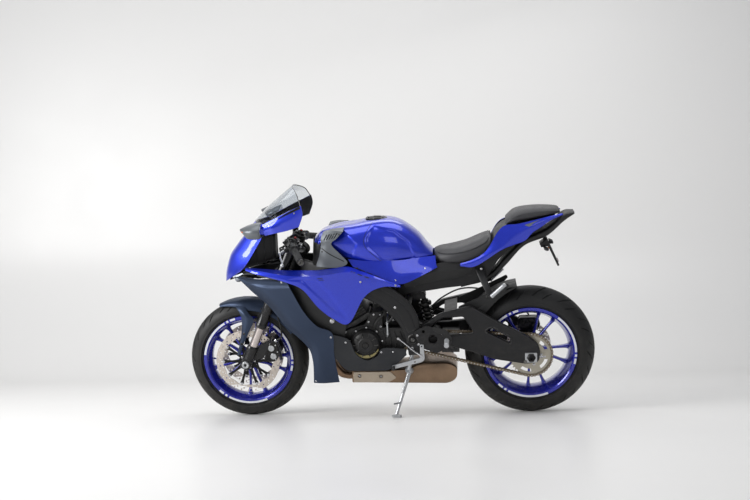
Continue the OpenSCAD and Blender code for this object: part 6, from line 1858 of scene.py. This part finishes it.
# %% Side stand
leg_way = STAND_FOOT - STAND_PIVOT
leg = line([(*STAND_PIVOT, 12), (*(STAND_PIVOT + leg_way * 0.25), 10), (*(STAND_PIVOT + leg_way * 0.8), 8),
    (*STAND_FOOT, 8.5)], 5)
rings = []
for p in leg:
    u = STAND_AXIS
    v = leg_way.normalized().cross(u)
    rings.append([p.xyz + u * p.w * 0.78 * math.cos(a) + v * p.w * math.sin(a)
        for a in (2 * math.pi * k / 20 for k in range(20))])
eye = turned([(8.5, 9), (16.5, 9), (18, 7.5), (18, -7.5), (16.5, -9), (8.5, -9)], STAND_PIVOT, STAND_AXIS,
    36)
sole = [Vector((x, y, 0)) for x, y in [(p.x, p.y)
    for p in outline([(-24, -22, 12), (24, -22, 12), (24, 22, 12), (-24, 22, 12)], 6)]]
flat_foot = Matrix.Translation(STAND_FOOT) @ Matrix.Rotation(LEAN, 4, "X")
foot_plate = moved(loft([[Vector((p.x * k, p.y * k, z)) for p in sole] for k,
    z in ((0.96, -14), (1, -12), (1, -4), (0.9, -2))]), flat_foot)
tang = loft([[STAND_PIVOT + leg_way * 0.72 + Vector((18 * s, 10, -4 * s)) + Vector((dx, 0, dz)) for dx,
    dz in ((-4, -4), (4, -4), (4, 4), (-4, 4))] for s in (0, 1.6)])
piece("stand_leg", *merged(loft(rings), eye, tang), "side_stand", ALLOY, edge=0.5,
    stands_for=["side_stand"])
piece("stand_foot", *foot_plate, "side_stand", ALLOY, edge=0.8)
hook = STAND_PIVOT + leg_way * 0.55 + STAND_AXIS * 11
turns_path = [STAND_PIVOT + (hook - STAND_PIVOT) * (0.2 + 0.8 * k / 96) + STAND_AXIS * 12 * (1 - k / 96)
    + 5 * (math.cos(2 * math.pi * k / 8) * STAND_AXIS
    + math.sin(2 * math.pi * k / 8) * leg_way.normalized().cross(STAND_AXIS)) for k in range(97)]
piece("stand_spring", *tube(turns_path, 1.3, 6, 1), "side_stand", STEEL)
print("stand leg length", round(leg_way.length))

# %% [markdown]
# Under the tail hangs a bracket for the number plate, left blank, with a small lamp above it, a red
# reflector and two slim indicators.

# %% Plate hanger and indicators
arm = plate([outline([(-56, 852, 4), (-92, 880, 6), (-150, 745, 5), (-141, 741, 3), (-95, 842, 10),
    (-62, 836, 4)], 4)], -38, 38, 2)
piece("plate_bracket", *arm, "chassis", PLASTIC, edge=0.6, stands_for=["plate_hanger"])
post = bar((-80, 0, 842), (-80, 0, 885), 7)
piece("plate_bracket_post", *post, "chassis", PLASTIC)
lamp_case = plate([outline([(-100, 872, 4), (-122, 862, 4), (-122, 850, 3), (-104, 850, 3)], 3)], -22, 22,
    1.5)
piece("plate_lamp", *lamp_case, "chassis", PLASTIC)
stalks = [bar((-74, 30, 842), (-80, 74, 838), 5.5),
    turned([(0.01, 0), (6, 0), (9, 6), (9.5, 20), (8, 34), (4, 40), (0.01, 41)], (-80, 66, 838),
    (-0.25, 1, 0), 20)]
piece("indicator_stalks", *merged(*stalks), "chassis", PLASTIC, both=True)
lens_cap = turned([(0.01, 0), (6.5, 0.5), (8.4, 3), (7.6, 5.4), (0.01, 6.4)], (-90, 84, 838), (-1, -0.1, 0),
    20)
piece("indicator_lenses", *lens_cap, "chassis", AMBER, both=True)
reflector = moved(loft([[Vector((x, y, 0)) + Vector((0, 0, z)) for x,
    y in [(p.x, p.y) for p in outline([(-9, -22, 3), (9, -22, 3), (9, 22, 3), (-9, 22, 3)], 3)]]
    for z in (0, 3)]), Matrix.Translation((-142, 0, 768)) @ Matrix.Rotation(math.radians(-68), 4, "Y"))
piece("rear_reflector", *reflector, "chassis", TAIL_RED, edge=0.6)
print("plate hanger set")

# %% [markdown]
# The rear frame is two cast rails under the seats, joined by cross tubes. A black plastic cover closes the
# space between the tank cover, the seat and the tail. Its upper field leans in and its lower field leans
# out, so a ridge runs along it.

# %% Rear frame and its covers
RAIL = [(660, 606, 12), (656, 640, 14), (578, 704, 20), (440, 762, 20), (310, 768, 20), (215, 795, 20),
    (150, 845, 20), (-70, 968, 8), (-70, 944, 8), (50, 876, 20), (150, 786, 20), (200, 706, 20),
    (330, 662, 20), (400, 656, 20), (600, 628, 20)]
rail = plate([outline(RAIL, 5)], 64, 78, 2)
piece("rear_frame_rails", *rail, "chassis", CASTING, both=True, stands_for=["subframe"])
crossings = [(560, 680, 12, 100), (420, 700, 10, 70), (230, 790, 10, 70), (0, 930, 8, 70)]
tubes = [turned([(0.01, -half), (r, -half), (r, half), (0.01, half)], (x, 0, z), turns=24) for x, z, r,
    half in crossings]
piece("rear_frame_cross_tubes", *merged(*tubes), "chassis", CASTING, edge=0.6)
stubs = [bar((645, 68, 620), (645, 163, 620), 9), bar((292, 74, 777), (292, 136, 777), 5),
    bar((-20, 74, 938), (-20, 110, 938), 5), bar((350, 71, 742), (350, 71, 782), 6)]
piece("rear_frame_stubs", *merged(*stubs), "chassis", CASTING, both=True)
SHROUD = [[(612, 146, 722), (540, 128, 752), (470, 112, 778), (400, 106, 790), (320, 104, 790),
    (262, 104, 800)], [(604, 150, 700), (540, 138, 722), (470, 126, 742), (400, 120, 752), (330, 116, 752),
    (268, 110, 766)], [(598, 132, 672), (540, 120, 682), (470, 110, 694), (400, 104, 704), (340, 102, 712),
    (280, 100, 738)]]
shroud_part = grid(SHROUD, 10, folds=(1,), across=10)
panel("seat_side_shrouds", shroud_part, PLASTIC, core=(430, 0, 730), both=True)
shroud_skin = Skin(shroud_part)
piece("seat_shroud_screws", *merged(shroud_skin.screw(590, 708, 4), shroud_skin.screw(300, 772, 4)),
    "chassis", CARRIER, both=True)
print("rear frame points", len(rail[0]))

# %% [markdown]
# Inside the nose a wide duct leads the air past the steering head to the box under the tank. It is what
# fills the dark space behind the lamps. A second panel closes the front of the box; both stay clear of the
# fork when it turns.

# %% Air duct and box front
# x, half width, low z, high z
DUCT_WAY = [(1236, 36, 814, 934), (1252, 42, 808, 944), (1290, 52, 798, 946), (1330, 62, 786, 936),
    (1390, 70, 768, 884), (1428, 60, 752, 836)]
rings = []
for x, wide, low, high in DUCT_WAY:
    ring = outline([(-wide, low, 22), (wide, low, 22), (wide, high, 22), (-wide, high, 22)], 5)
    rings.append([(x, p.x, p.y) for p in ring])
piece("air_duct", *loft(rings), "chassis", PLASTIC, edge=1, sharp=40, stands_for=["cowl_stay"])
ribs = [loft([[(x + d, p.x, p.y) for p in outline([(-wide - 3, low - 3, 24), (wide + 3, low - 3, 24),
    (wide + 3, high + 3, 24), (-wide - 3, high + 3, 24)], 5)] for d in (-3, 3)]) for x, wide, low,
    high in DUCT_WAY[1:4]]
piece("air_duct_ribs", *merged(*ribs), "chassis", PLASTIC, edge=0.8)
BOX = [[(1000, 138, 906), (1030, 112, 905), (1044, 60, 905), (1050, 0, 906)],
    [(1004, 160, 850), (1036, 124, 850), (1048, 62, 850), (1054, 0, 850)],
    [(1008, 172, 797), (1040, 128, 797), (1052, 62, 797), (1058, 0, 797)]]
panel("airbox_front", grid(whole(BOX), 8), PLASTIC, wall=2.5, core=(900, 0, 850), lining=False)
print("duct sections", len(DUCT_WAY))

# %% [markdown]
# Behind the covers the engine itself is a stack of castings: the crankcase, the block leaning forward with
# its head and cam cover, and a sump below. Each is a plate with rounded corners and a chamfer; ribs, split
# lines and rows of bright screws make them read as castings.

# %% Engine castings
CASE = [(908, 470, 20), (905, 340, 25), (860, 300, 20), (640, 292, 20), (606, 330, 20), (604, 460, 20),
    (655, 560, 20), (770, 560, 10), (800, 500, 10)]
FRONT_CASE = [(908, 470, 20), (905, 340, 25), (860, 300, 20), (714, 295, 6), (714, 560, 6), (770, 560, 10),
    (800, 500, 10)]
HEAD = [(775, 530, 6), (905, 455, 6), (962, 555, 6), (836, 634, 6)]
CAM_COVER = [(840, 636, 6), (966, 559, 6), (985, 595, 8), (950, 668, 20), (830, 700, 20), (800, 660, 12)]
SUMP = [(850, 312, 4), (828, 262, 12), (690, 262, 12), (665, 312, 4)]
blocks = [plate([outline(line_of, 5)], -far, near, cut) for line_of, far, near,
    cut in ((CASE, 140, 94, 4), (FRONT_CASE, 148, 148, 4), (HEAD, 128, 128, 2), (CAM_COVER, 126, 126, 5),
    (SUMP, 70, 70, 5))]
piece("engine_castings", *merged(*blocks), "chassis", CRANKCASE, stands_for=["engine"])
along, up = Vector((905 - 775, 455 - 530)).normalized(), Vector((75, 130)).normalized()
fins = []
for k in range(7):
    a = Vector((783, 536)) + up * (14 + 12 * k)
    b = a + along * 138
    fins.append(loft([[(p.x, y, p.y) for p in (a, b, b + up * 4, a + up * 4)] for y in (126, 133)]))
webs = [tube([(722, 149, 500 - 30 * k), (730, 149, 470 - 30 * k), (726, 149, 440 - 30 * k)], 3.2, 8)
    for k in range(2)]
webs += [tube([(612 + 20 * k, 95, 470 + 12 * k), (650 + 14 * k, 96, 500), (690, 95, 548 - 20 * k)], 3.5, 8)
    for k in range(3)]
piece("engine_fins", *merged(*fins), "chassis", CRANKCASE, both=True, edge=0.8)
piece("engine_webs", *merged(*webs), "chassis", CRANKCASE)
screws = [cap_bolt((x, y, z), (0, 1, 0), 5.2, 5) for x, z,
    y in ((724, 545, 148), (756, 548, 148), (782, 512, 148), (724, 487, 148), (724, 400, 148),
    (894, 462, 148), (893, 380, 148), (667, 504, 94), (640, 540, 94), (690, 545, 94), (830, 600, 128),
    (880, 566, 128), (930, 536, 128), (840, 672, 126), (900, 664, 126), (950, 640, 126))]
piece("engine_screws", *merged(*screws), "chassis", STEEL)
pipe = [tube([(691, 96, 536), (691, 130, 528), (691, 156, 505), (691, 158, 452), (694, 152, 436)], 4.6, 12,
    5)]
pipe += [bar((691, 157, z), (691, 157, z + 12), 7, 1, 6) for z in (498, 446)]
piece("breather_pipe", *merged(*pipe), "chassis", ALLOY)
lugs = [bar((x, y0, z), (x, y1, z), r) for x, z, r, y0,
    y1 in ((893, 425, 7, 140, 199), (665, 376, 6, 130, 192), (925, 545, 7, 120, 189))]
piece("panel_lugs", *merged(*lugs), "chassis", CRANKCASE, both=True)
clamp_rings = [turned([(15.2, -6), (17, -6), (17, 6), (15.2, 6)], (955, 162, 641), (60, 10, -10), 24),
    turned([(13.2, -5), (15, -5), (15, 5), (13.2, 5)], (944, 166, 482), (20, 8, 70), 24)]
piece("hose_clips", *merged(*clamp_rings), "chassis", STEEL)
duct_bolt = hex_bolt((955, 195, 531), (0, 1, 0), 9, 6)
piece("duct_bolts", *duct_bolt, "chassis", STEEL, both=True)
print("engine castings", len(blocks), "screws", len(screws))

# %% [markdown]
# ## Last steps
# Solids that no new piece stands for stay in view, so each gets black plastic, or the fin finish for the
# radiator.

# %% Finish the solids that stay
STAYS = {"radiator": CORE}
for name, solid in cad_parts.items():
    if not solid.hide_render:
        solid.data.materials.clear()
        solid.data.materials.append(STAYS.get(name, PLASTIC))
        print("kept solid", name)
